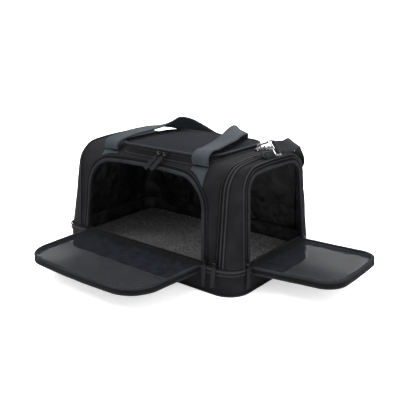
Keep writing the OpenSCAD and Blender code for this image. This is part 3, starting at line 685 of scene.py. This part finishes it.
def closed_wall(name, l, w, r, rows, lump=0.0):
    """A wall round a rounded rectangle; rows are (offset out, z), up outside and down inside."""
    pts, outs = loop_path(l, w, r, step=5.0)
    verts, heights = [], [0.0]
    for a, b in zip(rows, rows[1:]):
        heights.append(heights[-1] + math.hypot(b[0] - a[0], b[1] - a[1]) * MM)
    for off, z in rows:
        for p, o in zip(pts, outs):
            d = off + lump * sin(pi * min(1.0, max(0.0, z / 52.0))) * soft(p.x, p.y, z, 34)
            verts.append(p + o * d + Vector((0, 0, z)))
    us = [x * MM for x in lengths(pts + pts[:1])]
    faces, uvs = grid_faces(len(rows), len(pts), us, heights, wrap=True)
    kinds = [int(j >= len(rows) // 2) for j in range(len(rows) - 1) for _ in pts]
    return make(name, verts, faces, BODY, "bag", uvs, LINING, kinds)


def build_base():
    swell = [(0.0, 2.2), (0.2, 5), (0.4, 12), (0.5, 22), (0.4, 32), (0.1, 39), (-0.5, 42.6),
             (-0.6, 43.6), (-0.4, 45), (-0.2, 47), (-0.6, 49.5), (-1.2, 51.6)]
    inner = [(-3.4, 51.6), (-3.9, 46), (-3.9, 30), (-3.9, 14), (-3.9, 2.4)]
    band = closed_wall("base_band_cloth", BAND_L, BAND_W, BAND_R, swell + inner, 0.5)
    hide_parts("base_band")
    for k, z in enumerate((2.1, 43.0, 50.5)):
        path, outs = loop_path(BAND_L + 3, BAND_W + 3, BAND_R + 1.5, z)
        cord = piping(f"base_piping_{k}", path, outs, 1.5, closed=True)
        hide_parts("base_piping")
    for k, z in enumerate((39.6, 46.6)):
        path, outs = loop_path(BAND_L + 0.2, BAND_W + 0.2, BAND_R + 0.1, z, 4.0)
        stitches(f"base_stitches_{k}", path + path[:1], outs + outs[:1], "bag", pitch=4.2, r=0.3,
                 lift=0.3)
    lip = [(-0.6, 52.1), (-0.2, 53), (-0.8, 53.9), (-8, 54.0), (-12.6, 53.6), (-13, 53), (-12.6, 52.3),
           (-8, 52.1), (-0.6, 52.1)]
    ledge = closed_wall("rim_ledge_cloth", BAND_L, BAND_W, BAND_R, lip)
    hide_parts("rim_ledge")
    floor = panel("bottom_panel_cloth", rounded(465.4, 277.4, 38.7),
                  lambda u, v, d: Vector((u, v, d + 0.15 * (1 + soft(u, v, 0, 40, 2)) * (d < 1))),
                  BODY, "bag", 2.0, step=24, edge=8, flip=True)
    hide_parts("bottom_panel")
    paint(["base_board"], BOARD)


build_base()


# ---- mat

def build_mat():
    """A quilted foam mat under heather fleece: crowned top, pinched rim, soft hollows."""
    l, w, r, z0, z1 = 436.0, 252.0, 34.0, 5.4, 30.4
    mid = (z0 + z1) / 2
    pts, tris = flat_cut(rounded(l, w, r), (), 6.0, 4.0)

    def to_rim(u, v):
        qx, qy = abs(u) - (l / 2 - r), abs(v) - (w / 2 - r)
        if qx > 0 and qy > 0:
            return r - math.hypot(qx, qy)
        return min(l / 2 - abs(u), w / 2 - abs(v))

    top, under = [], []
    for u, v in pts:
        e = max(0.0, to_rim(u, v))
        round_off = math.sqrt(max(0.0, 1 - (1 - min(1.0, e / 11.0)) ** 2))
        fluff = 0.55 * soft(u, v, 0, 4, 7) + 0.9 * soft(u, v, 0, 15, 1) + 1.1 * soft(u, v, 0, 48, 8)
        rise = (z1 - mid) * round_off - (2.2 - fluff) * min(1.0, e / 14.0)
        top.append(Vector((u, v, mid + rise)))
        under.append(Vector((u, v, mid - (mid - z0) * round_off)))
    faces, uvs = two_skins(pts, tris)
    mat = make("fleece_mat_pad", top + under, faces, FLEECE, "bag", uvs)
    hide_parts("fleece_mat")
    line = [Vector((x, y, mid)) for x, y in even2(rounded(l, w, r), 4.0)]
    piping("fleece_mat_piping", line, [UP] * len(line), 1.6, closed=True, sides=8)


build_mat()


# ---- tunnel

LID_L, LID_W, LID_R = 255, 196, 46           # the hole that the lid closes
LID_AT = Vector((23, -4, 0))


def lid_outline(grow):
    return rounded(LID_L + 2 * grow, LID_W + 2 * grow, LID_R + grow, LID_AT.x, LID_AT.y)


def front_line(off, lift, step=3.0):
    """The front opening's outline moved out by off, lifted off the tunnel."""
    path, ups = [], []
    for x, z in even2(front_open.line(-off, 24, 24, 30), step, False):
        s = s_of_z(z)
        path.append(on_tunnel(x, s, -lift))
        ups.append(tunnel_up(s))
    return path, ups


def hoop_line(x, lift, step=3.0):
    """A line round the tunnel at x, lifted off it, and its directions outwards."""
    count = int(TOTAL / step)
    ss = [0.8 + (TOTAL - 1.6) * i / count for i in range(count + 1)]
    out = []
    for s in ss:
        p = on_tunnel(min(max(x, LEFT), RIGHT), s, -lift)
        p.x = x
        out.append(p)
    return out, [tunnel_up(s) for s in ss]


def build_tunnel():
    door_hole = [(x, s_of_z(z)) for x, z in even2(front_open.line(0, 20, 20), 4)]
    lid_hole = [(x, s_of_y(y)) for x, y in even2(lid_outline(-1.5), 4)]
    shell = panel("tunnel_cloth",
                  [(LEFT, 0.3), (RIGHT, 0.3), (RIGHT, TOTAL - 0.3), (LEFT, TOTAL - 0.3)],
                  on_tunnel, BODY, "bag", 3.4, (door_hole, lid_hole), lining=LINING)
    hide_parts("front_panel", "back_panel", "top_panel")
    for k, x in enumerate((LEFT, RIGHT - 6, RIGHT + 1.6)):
        cord = piping(f"hoop_piping_{k}", *hoop_line(x, 1.5), 1.5)
        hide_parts("hoop_piping")
    for k, x in enumerate((LEFT + 4.5, RIGHT - 9.2)):
        stitches(f"hoop_stitches_{k}", *hoop_line(x, 0.0), "bag", "body_fabric")
    zip_x = RIGHT - 13
    band = sweep("expansion_tape", *hoop_line(zip_x, 0.7), tape(10, 1.0), TAPE, "bag", "zip_tape")
    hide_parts("expansion_zip_tape")
    teeth = coil("expansion_coil", *hoop_line(zip_x, 2.2), "bag")
    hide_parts("expansion_zip_tape")
    paint(["frame_hoops"], LINING)


build_tunnel()


def gusset(name, seam_x, arch, side, node):
    """The rounded corner of cloth between the tunnel and an end."""
    a = tunnel.line(0, 14, 16, 18)
    b = arch.line(-17.5, 14, 16, 18)
    steps, n = 12, len(a)
    verts = []
    for depth in (0.0, CLOTH_T):
        for i in range(n):
            (ya, za), (yb, zb) = a[i], b[i]
            before, after = a[max(i - 1, 0)], a[min(i + 1, n - 1)]
            t = Vector((after[0] - before[0], after[1] - before[1])).normalized()
            x1 = right_x(zb) if side > 0 else left_x(zb)
            for k in range(steps + 1):
                u = pi / 2 * k / steps
                x = seam_x + (x1 - seam_x) * sin(u)
                y, z = yb + (ya - yb) * cos(u), zb + (za - zb) * cos(u)
                fade = sin(2 * u) * min(1.0, (z - RIM_Z) / 30)
                dent = 1.3 * fade * (0.6 + soft(x, y, z, 45, 6 * side) + 0.4 * soft(x, y, z, 16, 2))
                normal = Vector((side * sin(u), -t.y * cos(u), t.x * cos(u))).normalized()
                p = Vector((x, y, z)) - normal * (depth + dent)
                p.z = max(p.z, RIM_Z + 0.1)
                verts.append(p)
    row = steps + 1
    us = [x * MM for x in lengths(verts[n // 2 * row:(n // 2 + 1) * row])]
    vs = [x * MM for x in lengths(verts[:n * row:row])]
    outer, uv1 = grid_faces(n, row, us, vs, flip=side > 0)
    inner, uv2 = grid_faces(n, row, us, vs, flip=side < 0, base=n * row)
    obj = make(name, verts, outer + inner, BODY, "bag", uv1 + uv2, LINING,
               [0] * len(outer) + [1] * len(inner))
    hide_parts(node)


gusset("left_gusset_cloth", LEFT, left_open, -1, "left_gusset")
gusset("right_gusset_cloth", RIGHT, end_open, 1, "right_gusset")


# ---- ends

def on_right(y, z, depth=0.0):
    k = rad(LEAN_RIGHT)
    bulge = 0.7 * soft(0, y, z, 40, 12) * min(1.0, (z - RIM_Z) / 25)
    d = depth - bulge * 0.5
    return Vector((right_x(z) - d * cos(k), y, z - d * sin(k)))


def on_left(y, z, depth=0.0):
    k = rad(LEAN_LEFT)
    across = max(0.0, 1 - (y / 100.0) ** 2) * max(0.0, sin(pi * (z - RIM_Z) / 172))
    d = depth + 2.0 * across - 1.6 * soft(0, y, z, 50, 3) * across
    return Vector((left_x(z) + d * cos(k), y, z - d * sin(k)))


def end_line(off, lift, step=3.0):
    """The end opening's outline moved out by off, lifted off the end frame."""
    k = rad(LEAN_RIGHT)
    up = Vector((cos(k), 0, sin(k)))
    pts = even2(end_open.line(-off, 24, 20, 30), step, False)
    return [on_right(y, z) + up * lift for y, z in pts], [up] * len(pts)


def build_ends():
    hole = [(y, max(z, 57.2)) for y, z in even2(end_open.line(0, 16, 16), 4)]
    end_frame = panel("right_end_cloth", even2(end_open.line(-FRAME_W, 16, 16), 4), on_right, BODY,
                      "bag", CLOTH_T, (hole,), lining=LINING)
    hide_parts("right_end_frame")
    shut = panel("left_end_cloth", even2(left_open.line(-FRAME_W, 16, 16), 4), on_left, BODY, "bag",
                 CLOTH_T, step=7, flip=True, lining=LINING)
    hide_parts("left_end_panel")
    k = rad(LEAN_LEFT)
    up = Vector((-cos(k), 0, sin(k)))
    path = [on_left(y, z) + up * 0.7 for y, z in even2(left_open.line(-17.0, 20, 20, 30), 3.0, False)]
    piping("left_rim_piping", path, [up] * len(path), 1.4)
    piping("right_rim_piping", *end_line(17.0, 0.5), 1.4)


build_ends()


# ---- trims round the doorways

BINDING_W = 7                                # width of cloth tape folded over each edge
BINDING = oval(BINDING_W / 2, 2.1, 16, 2.6)


def build_doorway(name, line_at, tape_w):
    """The binding round an opening, and outside it the fixed half of the zip."""
    bind = sweep(name + "_binding_fold", *line_at(BINDING_W / 2, 2.2), BINDING, TRIM, "bag",
                 "trim_fabric")
    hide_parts(name + "_binding")
    stitches(name + "_binding_stitches", *line_at(5.6, 4.05), "bag", **FINE)
    strip = sweep(name + "_tape", *line_at(BINDING_W + tape_w / 2, 0.7), tape(tape_w - 0.4, 1.0),
                  TAPE, "bag", "zip_tape")
    teeth = coil(name + "_coil", *line_at(BINDING_W + 4.4, 2.1), "bag")
    for piece in (strip, teeth):
        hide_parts(name + "_zip_tape")
    stitches(name + "_tape_stitches", *line_at(BINDING_W + tape_w - 1.0, 1.25), "bag", "zip_tape",
             **{**FINE, "r": 0.22})


build_doorway("front", front_line, 8.0)
build_doorway("end", end_line, 6.5)


# ---- doors

def build_door(name, shape, place, sag_z, seed):
    """An open door: see-through mesh in a folded binding, its zip half hanging from the rim."""
    def cloth_at(u, v, d):
        edge = min(1.0, v / 30.0, (shape.top - v) / 30.0, (shape.half - abs(u)) / 30.0)
        z = -sag_z * sin(pi * min(1.0, max(0.0, v / shape.top))) * (1 - (u / shape.half) ** 2)
        z += max(0.0, edge) * (1.1 * soft(u, v, 0, 50, seed) + 0.5 * soft(u, v, 0, 20, seed + 4))
        return place(u, v, 0.35 + z - d)

    outline = even2(shape.line(5.0, 16, 16), 4)
    sheet = panel(name + "_mesh_cloth", outline, cloth_at, NET, name, NET_T, (), 9, 5)
    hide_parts(name + "_mesh")
    up = (place(0, 50, 1) - place(0, 50, 0)).normalized()

    def rim(t, z, step=3.0):
        path = [place(x, y, z + 0.5 * soft(x, y, 0, 30, seed))
                for x, y in even2(shape.line(t, 22, 20, 26), step, False)]
        return path, [up] * len(path)

    fold = sweep(name + "_binding_fold", *rim(BINDING_W / 2, 0.5), BINDING, TRIM, name, "trim_fabric")
    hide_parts(name + "_binding")
    stitches(name + "_binding_stitches", *rim(5.4, 2.3), name, **FINE)
    strip = sweep(name + "_rim_tape", *rim(1.0, -5.9), oval(0.6, 5.0, 12, 3.2), TAPE, name, "zip_tape")
    teeth = coil(name + "_rim_coil", *rim(0.9, -8.3), name, 1.1)
    edge = piping(name + "_rim_piping", *rim(0.6, -10.3), 0.9, name, sides=8)
    for piece in (strip, teeth, edge):
        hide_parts(name + "_tape")
    foot = [place(shape.half * (i / 40 - 1) * 0.985, 2.0, 0.1) for i in range(81)]
    sweep(name + "_hinge_seam", foot, [up] * len(foot), tape(5, 1.6), TAPE, name, "trim_fabric")


FRONT_Y, DOOR_Z, END_X = -148.5, 51.0, 242.5    # where the doors' feet hinge
NET_T = 0.06


def on_front_door(u, v, h):
    return Vector((u, FRONT_Y - v, DOOR_Z + h))


def on_end_door(u, v, h):
    c, s = cos(rad(LEAN_DOOR)), sin(rad(LEAN_DOOR))
    return Vector((END_X + v * c - h * s, u, DOOR_Z + 1 + v * s + h * c))


build_door("front_door", front_door, on_front_door, 2.0, 11)
build_door("end_door", end_door, on_end_door, 1.5, 17)


def build_hinges():
    """The flaps of cloth that join each door's foot to the rim of the base."""
    rows, cols = 5, 60
    us = [316 * MM * k / (cols - 1) for k in range(cols + 1)]
    vs = [0.0016 * i for i in range(rows)]
    for key, half, drop in (("front", 158, 2.6), ("end", 95, 1.8)):
        verts = []
        for i in range(rows):
            f = i / (rows - 1)
            z = RIM_Z + 0.3 - drop * f + 0.5 * sin(pi * f)
            for k in range(cols):
                along = -half + 2 * half * k / (cols - 1)
                if key == "front":
                    verts.append(Vector((along, -142.2 - 6.0 * f, z)))
                else:
                    verts.append(Vector((236.2 + 6.0 * f, along, z)))
        faces, uvs = grid_faces(rows, cols, us, vs, flip=key == "front")
        make(key + "_hinge_cloth", verts, faces, TAPE, "bag", uvs)


build_hinges()


# ---- lid

def build_lid():
    def ring(inset, r, z):
        path, outs = loop_path(LID_L - inset, LID_W - inset, r, z)
        return [p + LID_AT for p in path], outs

    def net_at(u, v, d):
        fx = max(0.0, 1 - abs((u - LID_AT.x) / 121) ** 2.5)
        fy = max(0.0, 1 - abs((v - LID_AT.y) / 92) ** 2.5)
        crown = 6.0 * fx * fy + 0.8 * soft(u, v, 0, 45, 21) * min(fx, fy)
        return Vector((u, v, 246.6 + crown - d))

    outline = even2(lid_outline(-5.5), 5)
    sheet = panel("lid_mesh_cloth", outline, net_at, NET, "lid", NET_T, (), 9, 5)
    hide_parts("lid_mesh")
    path, outs = ring(6.4, 43, 246.4)
    fold = sweep("lid_binding_fold", path, [UP] * len(path), oval(3.9, 2.3, 16, 2.6),
                 TRIM, "lid", "trim_fabric", True)
    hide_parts("lid_binding")
    path, outs = ring(10.4, 41, 248.4)
    stitches("lid_binding_stitches", path + path[:1], [UP] * (len(path) + 1), "lid",
             **FINE)
    strip = sweep("lid_zip_strip", *ring(0.4, 45.9, 243.4), oval(1.5, 0.6, 10), TAPE, "lid",
                  "zip_tape", True)
    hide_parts("lid_zip_tape")
    coil("lid_zip_coil", *ring(-0.6, 46.3, 241.4), "bag", 0.8, closed=True)
    rows = [(0, 221.5), (0.1, 228), (0.2, 234), (0.0, 240), (-0.4, 242.0), (-1.6, 242.2),
            (-2.6, 242.0), (-2.9, 236), (-2.9, 228), (-2.9, 221.5), (-0.2, 221.2)]
    curb = closed_wall("lid_curb_cloth", LID_L, LID_W, LID_R, rows)
    curb.data.transform(Matrix.Translation(LID_AT * MM))
    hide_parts("lid_curb")
    rim = [(x, s_of_y(y)) for x, y in even2(lid_outline(1.2), 3)]
    piping("lid_curb_piping", [on_tunnel(x, s, -0.9) for x, s in rim], [tunnel_up(s) for _, s in rim],
           1.2, closed=True, sides=8)


build_lid()


# ---- handles

HANDLE_W, HANDLE_T, HANDLE_SEAM = 38, 2.6, 15.5
SLING_W, SLING_T, SLING_SEAM = 30, 2.0, 12.5
SEWN = {"slot": "webbing", "r": 0.3, "lift": 0.0}


def ribbon(name, stations, w, t, mat, body_name):
    """Webbing through stations (x, y, z, and the direction of its face): piece, line, directions."""
    line = spline([Vector(q[:3]) for q in stations], 6)
    ups = [v.normalized() for v in spline([Vector(q[3:]) for q in stations], 6)]
    return sweep(name, line, ups, tape(w, t), mat, body_name, "webbing"), line, ups


def edge_stitches(name, line, ups, seam, h, body_name):
    """Two rows of stitches along a ribbon, seam to each side of its middle and h above it."""
    rows = []
    for k, off in enumerate((-seam, seam)):
        path = []
        for i, (p, up) in enumerate(zip(line, ups)):
            t = (line[min(i + 1, len(line) - 1)] - line[max(i - 1, 0)]).normalized()
            side = t.cross(up).normalized()
            path.append(p + side * off + side.cross(t) * h)
        rows.append(stitches(f"{name}_stitches_{k}", path, ups, body_name, **SEWN))
    return rows


FRONT_HANDLE = [
    (-107, -107, 232, 0, -0.8, 0.6), (-107, -108, 239, 0, -0.9, 0.4),
    (-106, -105, 247, 0, -0.7, 0.7), (-104, -95, 252.5, 0, -0.45, 0.9),
    (-100, -76, 257, 0, -0.25, 0.95), (-96, -50, 260.5, 0, -0.2, 1), (-92, -18, 262.5, 0, -0.1, 1),
    (-90, 15, 264, -0.1, 0, 1), (-89, 46, 265, -0.4, 0, 0.9), (-87, 75, 264.5, -0.7, 0.25, 0.7),
    (-75, 102, 256, -0.7, 0.6, 0.5), (-51, 122, 240, -0.4, 0.9, 0.35),
    (-20, 131, 225, -0.1, 0.95, 0.25), (12, 133.5, 220, 0, 0.95, 0.2),
    (38, 131, 224, 0.05, 0.95, 0.2), (58, 122.5, 236, 0.25, 0.92, 0.3),
    (72, 108, 253.5, 0.4, 0.8, 0.45), (83, 85, 265, 0.3, 0.4, 0.9),
    (95, 56, 267.5, 0.25, 0.15, 0.95), (105, 28, 266.5, 0.15, 0, 1), (114, 0, 263, 0.1, -0.1, 1),
    (118, -35, 258.5, 0, -0.15, 1), (123, -66, 256, 0, -0.2, 1), (127, -91, 256, 0, -0.4, 0.9),
    (130, -106, 249.5, 0, -0.75, 0.65), (131, -109, 240, 0, -0.9, 0.4),
    (131, -107, 232, 0, -0.8, 0.6),
]
REAR_HALF = [
    (-116, 114.2, 225.7, 0, 0.6, 0.8), (-116, 122, 221, 0, 0.7, 0.7), (-116, 128, 212, 0, 0.9, 0.4),
    (-116, 132, 200, 0, 1, 0.2), (-116, 136, 182, 0, 1, 0), (-115, 141, 162, -0.2, 1, 0),
    (-109, 148, 142, -0.45, 0.9, -0.2), (-96, 153, 119, -0.6, 0.75, -0.45),
    (-72, 157, 102, -0.4, 0.6, -0.75), (-38, 159, 93, -0.1, 0.45, -0.9), (0, 160, 90, 0, 0.4, -0.9),
]


def mirrored(half):
    return half + [(-x, y, z, -a, b, c) for x, y, z, a, b, c in half[-2::-1]]


def rear_patch(name, x):
    """Webbing sewn flat to the rear shoulder, with a sewn box."""
    low, high, count = s_of_z(187), s_of_z(229), 14
    ss = [TOTAL - (low + (high - low) * i / count) for i in range(count + 1)]
    line = [on_tunnel(x, s, -1.6) for s in ss]
    ups = [tunnel_up(s) for s in ss]
    obj = sweep(name, line, ups, tape(HANDLE_W, HANDLE_T), STRAP, "bag", "webbing")
    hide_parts("rear_handle_patches")
    edge_stitches(name, line, ups, HANDLE_SEAM, 1.4, "bag")
    for k, i in enumerate((1, -2)):
        bar = [line[i] + Vector((HANDLE_SEAM * (j / 10 - 1), 0, 0)) + ups[i] * 1.4 for j in range(21)]
        stitches(f"{name}_bar_{k}", bar, [ups[i]] * 21, "bag", **SEWN)


def front_patch(name, x, z0, z1):
    """Webbing sewn flat to the front shoulder, cut off below along the doorway's zip."""
    arch = [Vector((*p, 0)) for p in front_open.line(-15, 24, 24)]
    half = HANDLE_W / 2

    def cut_at(u):
        for a, b in zip(arch, arch[1:]):
            if a.x <= u <= b.x and b.x > a.x:
                return max(z0, a.y + (b.y - a.y) * (u - a.x) / (b.x - a.x))
        return z0

    def at(u, v, d):
        return on_tunnel(u, v, d - HANDLE_T)

    def seam(key, points):
        line = [at(u, v, 0) for u, v in points]
        stitches(f"{name}_{key}", line, [tunnel_up(v) for _, v in points], "bag", **SEWN)

    foot = [x - half + HANDLE_W * i / 12 for i in range(13)]
    low = [(u, s_of_z(cut_at(u))) for u in foot]
    top = s_of_z(z1)
    obj = panel(name, low + [(x + half, top), (x - half, top)], at, STRAP, "bag", 2.2,
                edge=2.5)
    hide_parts("front_handle_patches")
    seam("bar_0", [(u * 0.82 + x * 0.18, v + 3) for u, v in low])
    seam("bar_1", [(x - HANDLE_SEAM + 2 * HANDLE_SEAM * i / 10, top - 3) for i in range(11)])
    for k, off in enumerate((-HANDLE_SEAM, HANDLE_SEAM)):
        start = s_of_z(cut_at(x + off)) + 3
        seam(f"side_{k}", [(x + off, start + (top - 3 - start) * i / 10) for i in range(11)])


def build_handles():
    obj, line, ups = ribbon("front_handle_webbing", FRONT_HANDLE, HANDLE_W, HANDLE_T, STRAP,
                            "front_handle")
    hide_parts("front_handle")
    rows = edge_stitches("front_handle", line[4:-4], ups[4:-4], HANDLE_SEAM, 1.35, "front_handle")
    for piece in [obj] + rows:
        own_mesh(piece)
    obj, line, ups = ribbon("rear_handle_webbing", mirrored(REAR_HALF), HANDLE_W, HANDLE_T, STRAP,
                            "rear_handle")
    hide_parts("rear_handle")
    edge_stitches("rear_handle", line[4:-4], ups[4:-4], HANDLE_SEAM, 1.35, "rear_handle")
    front_patch("front_left_patch", -107, 206, 227)
    front_patch("front_right_patch", 131, 185, 227)
    rear_patch("rear_patch_left", -116)
    rear_patch("rear_patch_right", 116)


build_handles()


# ---- shoulder strap

def hanging(x, y, *face):
    """A station on the strap's catenary, whose lowest point is 31 above the floor."""
    return (x, y, 31 + 135 * (math.cosh(x / 135) - 1), *face)


STRAP_ROUTE = [
    (229.4, 19.8, 258.8, 0.528, -0.253, 0.81), (233.5, 29, 259.6, 0.528, -0.253, 0.81),
    (233.5, 43, 262, 0.48, -0.05, 0.87), (229.5, 60, 260, 0.45, 0.3, 0.85),
    (224, 77, 251, 0.45, 0.6, 0.65), (218, 96, 240, 0.4, 0.75, 0.5),
    (211, 115, 226, 0.35, 0.88, 0.35), (203, 128.5, 209, 0.2, 0.95, 0.2),
    hanging(193, 133.5, 0.05, 1, 0.1), hanging(178, 137, 0.1, 1, 0),
    hanging(158, 141, 0.3, 0.95, -0.1), hanging(132, 149, 0.5, 0.8, -0.3),
    hanging(102, 157, 0.6, 0.55, -0.55), hanging(68, 164, 0.35, 0.35, -0.87),
    hanging(34, 166, 0.15, 0.3, -0.95), hanging(0, 165, 0, 0.3, -1),
    (-28, 165.5, 33.5, -0.15, 0.3, -0.95), (-58, 163, 40.5, -0.3, 0.4, -0.87),
    (-92, 159, 50, -0.4, 0.6, -0.7), (-125, 154, 61, -0.3, 0.85, -0.4),
    (-155, 149, 72, -0.15, 0.97, -0.1), (-180, 143.5, 82, -0.15, 1, 0),
    (-199, 137, 91, -0.5, 0.87, 0.05), (-216.5, 129.5, 101, -0.75, 0.66, 0.1),
    (-227, 114, 112, -0.93, 0.35, 0.12), (-231, 98, 124, -1, 0.1, 0.15),
    (-231, 82, 137, -1, 0, 0.18), (-230, 66, 150, -1, 0, 0.2), (-228.7, 52, 163, -0.978, 0, 0.208),
]


def build_strap():
    obj, line, ups = ribbon("shoulder_strap_webbing", STRAP_ROUTE, SLING_W, SLING_T, SLING, "bag")
    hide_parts("shoulder_strap")
    edge_stitches("shoulder_strap", line[2:-2], ups[2:-2], SLING_SEAM, 1.05, "bag")


build_strap()


# ---- zip sliders, pulls, rings and hooks

# length of each zip's pull, by the zip's name
PULLS = {"front_zip": 48, "end_zip": 48, "expansion_zip": 46, "lid_zip_left": 40, "lid_zip_right": 40}
paint([key.replace("_zip", "_zip_slider") for key in PULLS], ENAMEL)
paint(["ring_right", "ring_left"], RING)
paint([part + side for part in ("hook_", "gate_", "swivel_eye_") for side in ("right", "left")], CHROME)
paint(["strap_adjuster"], PLASTIC)


def turn(angle, axis):
    return Matrix.Rotation(rad(angle), 3, axis)


def fittings(side):
    """Origin and rotation of an end's ring tab, then those of its hook's swivel, as in the CAD."""
    if side > 0:
        tab = Vector((217, -7, 245.4))
        ring = turn(-38, "Y")
        hook = tab + ring @ Vector((0, -21, 17))
        swivel = ring @ turn(-20.7, "Z") @ turn(-15.4, "X") @ turn(-19, "Y")
        return tab, Matrix.Identity(3), hook, swivel
    tab = Vector((left_x(222) - 4.7, -7, 222))
    ring = Matrix.Diagonal((-1, 1, 1)) @ turn(150, "Y")
    c = 4 * sin(rad(45)) - 4
    hook = tab + ring @ Vector((0, 21 + c, 25 + c))
    return tab, turn(LEAN_LEFT - 90, "Y"), hook, ring @ turn(18, "Y") @ turn(45, "X")


def webbing_strip(name, points, normals, w, t, origin, rot, node, body_name="bag"):
    """Flat webbing through points given in a fitting's own frame."""
    line = [origin + rot @ Vector(p) for p in points]
    ups = [(rot @ Vector(q)).normalized() for q in normals]
    obj = sweep(name, line, ups, tape(w, t), SLING, body_name, "webbing")
    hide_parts(node)


TAB_W, TAB_R = 33, 3.3                       # ring tab's width, and its roll round the ring's bar


def build_loops():
    """Webbing rolled round each ring's bar, and round each swivel's end bar into the strap."""
    around = [(sin(rad(a)), 0, -cos(rad(a))) for a in range(12, 349, 14)]
    sole = [(x, 0, -3.9 + 0.02 * x * x) for x in range(-5, 6)]
    leg = ((1.05, 52.4, 1, 0), (1.05, 50, 1, 0), (1.05, 46, 1, 0), (1.3, 43.2, 1, 0.15))
    turns = [(cos(rad(a)), sin(rad(a)), 0) for a in range(50, -231, -20)]
    points = ([(x, y, 0) for x, y, _, _ in leg] + [(3.1 * c, 38 + 3.1 * s, 0) for c, s, _ in turns]
              + [(-x, y, 0) for x, y, _, _ in leg[::-1]])
    normals = ([(c, s, 0) for _, _, c, s in leg] + turns + [(-c, s, 0) for _, _, c, s in leg[::-1]])
    for side in (-1, 1):
        end = "right" if side > 0 else "left"
        tab, lean, hook, swivel = fittings(side)
        name = "ring_tab_" + end
        webbing_strip(name + "_roll", [Vector(q) * TAB_R for q in around], around, TAB_W, 1.7, tab,
                      lean, name)
        webbing_strip(name + "_foot", sole, [(0, 0, 1)] * 11, TAB_W, 1.4, tab, lean, name)
        for k, x in enumerate((-4.2, 4.2)):
            row = [tab + lean @ Vector((x, -14 + 2.8 * i, -2.9)) for i in range(11)]
            stitches(f"{name}_stitches_{k}", row, [lean @ UP] * 11, "bag", "webbing",
                     pitch=3.4, length=2.4, lift=0.0)
        name = "strap_end_" + end
        webbing_strip(name + "_fold", points, normals, SLING_W, 1.8, hook, swivel, name,
                      "swivel_" + end)
        for k, y in enumerate((44.5, 48)):
            row = [hook + swivel @ Vector((2.1, y, -12.5 + 2.5 * i)) for i in range(11)]
            stitches(f"{name}_stitches_{k}", row, [swivel @ Vector((1, 0, 0))] * 11, "swivel_" + end,
                     "webbing", pitch=3.0, length=2.2, lift=0.0)


build_loops()


def frame_of(joint_name):
    """A joint's place, in millimetres, and its axis."""
    joint = next(j for j in frame["joints"] if j["name"] == joint_name)
    return Vector(joint["pos_m"]) * 1000, Vector(joint["axis"]).normalized()


def build_pulls():
    """Each pull is a loop of cord through the slider's lug that carries a folded grosgrain tab."""
    for key, size in PULLS.items():
        node, body_name = key.replace("_zip", "_zip_pull"), key + "_pull"
        pin, axis = frame_of(key + "_pull_swing")
        verts = [v.co * 1000 for v in nodes[node].data.vertices]
        reach = max(verts, key=lambda p: (p - pin).length) - pin
        reach -= axis * reach.dot(axis)
        far = [p for p in verts if (p - pin).dot(reach.normalized()) > reach.length * 0.9]
        mid = sum(far, Vector()) / len(far)
        down = ((mid - pin) - axis * (mid - pin).dot(axis)).normalized()
        up = axis.cross(down).normalized()
        line = [pin + down * d for d in (6.5, 9, 14, 20, 26, 32, size - 3, size - 0.6)]
        tab = sweep(node + "_tab", line, [up] * 8, tape(9, 2.0, 0.5), PULL, body_name, "pull_fabric",
                    scale=[0.55, 0.96, 1.0, 1.0, 1.0, 1.0, 1.0, 0.93])
        turns = [2 * pi * i / 24 for i in range(24)]
        loop = [pin + down * (3.2 - 4.4 * cos(a)) + axis * (1.5 * sin(a)) for a in turns]
        cord = sweep(node + "_cord", loop, [up] * 24, oval(0.7, 0.7, 8), PULL, body_name,
                     "pull_fabric", True)
        for piece in (tab, cord):
            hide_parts(node)
        for k, off in enumerate((-3.2, 3.2)):
            row = [pin + down * d + axis * off + up * 1.05 for d in (9.5, 20, 30, size - 3)]
            stitches(f"{node}_stitches_{k}", row, [up] * 4, body_name, "pull_fabric", pitch=3.0,
                     length=2.1, r=0.22, lift=0.0)


build_pulls()
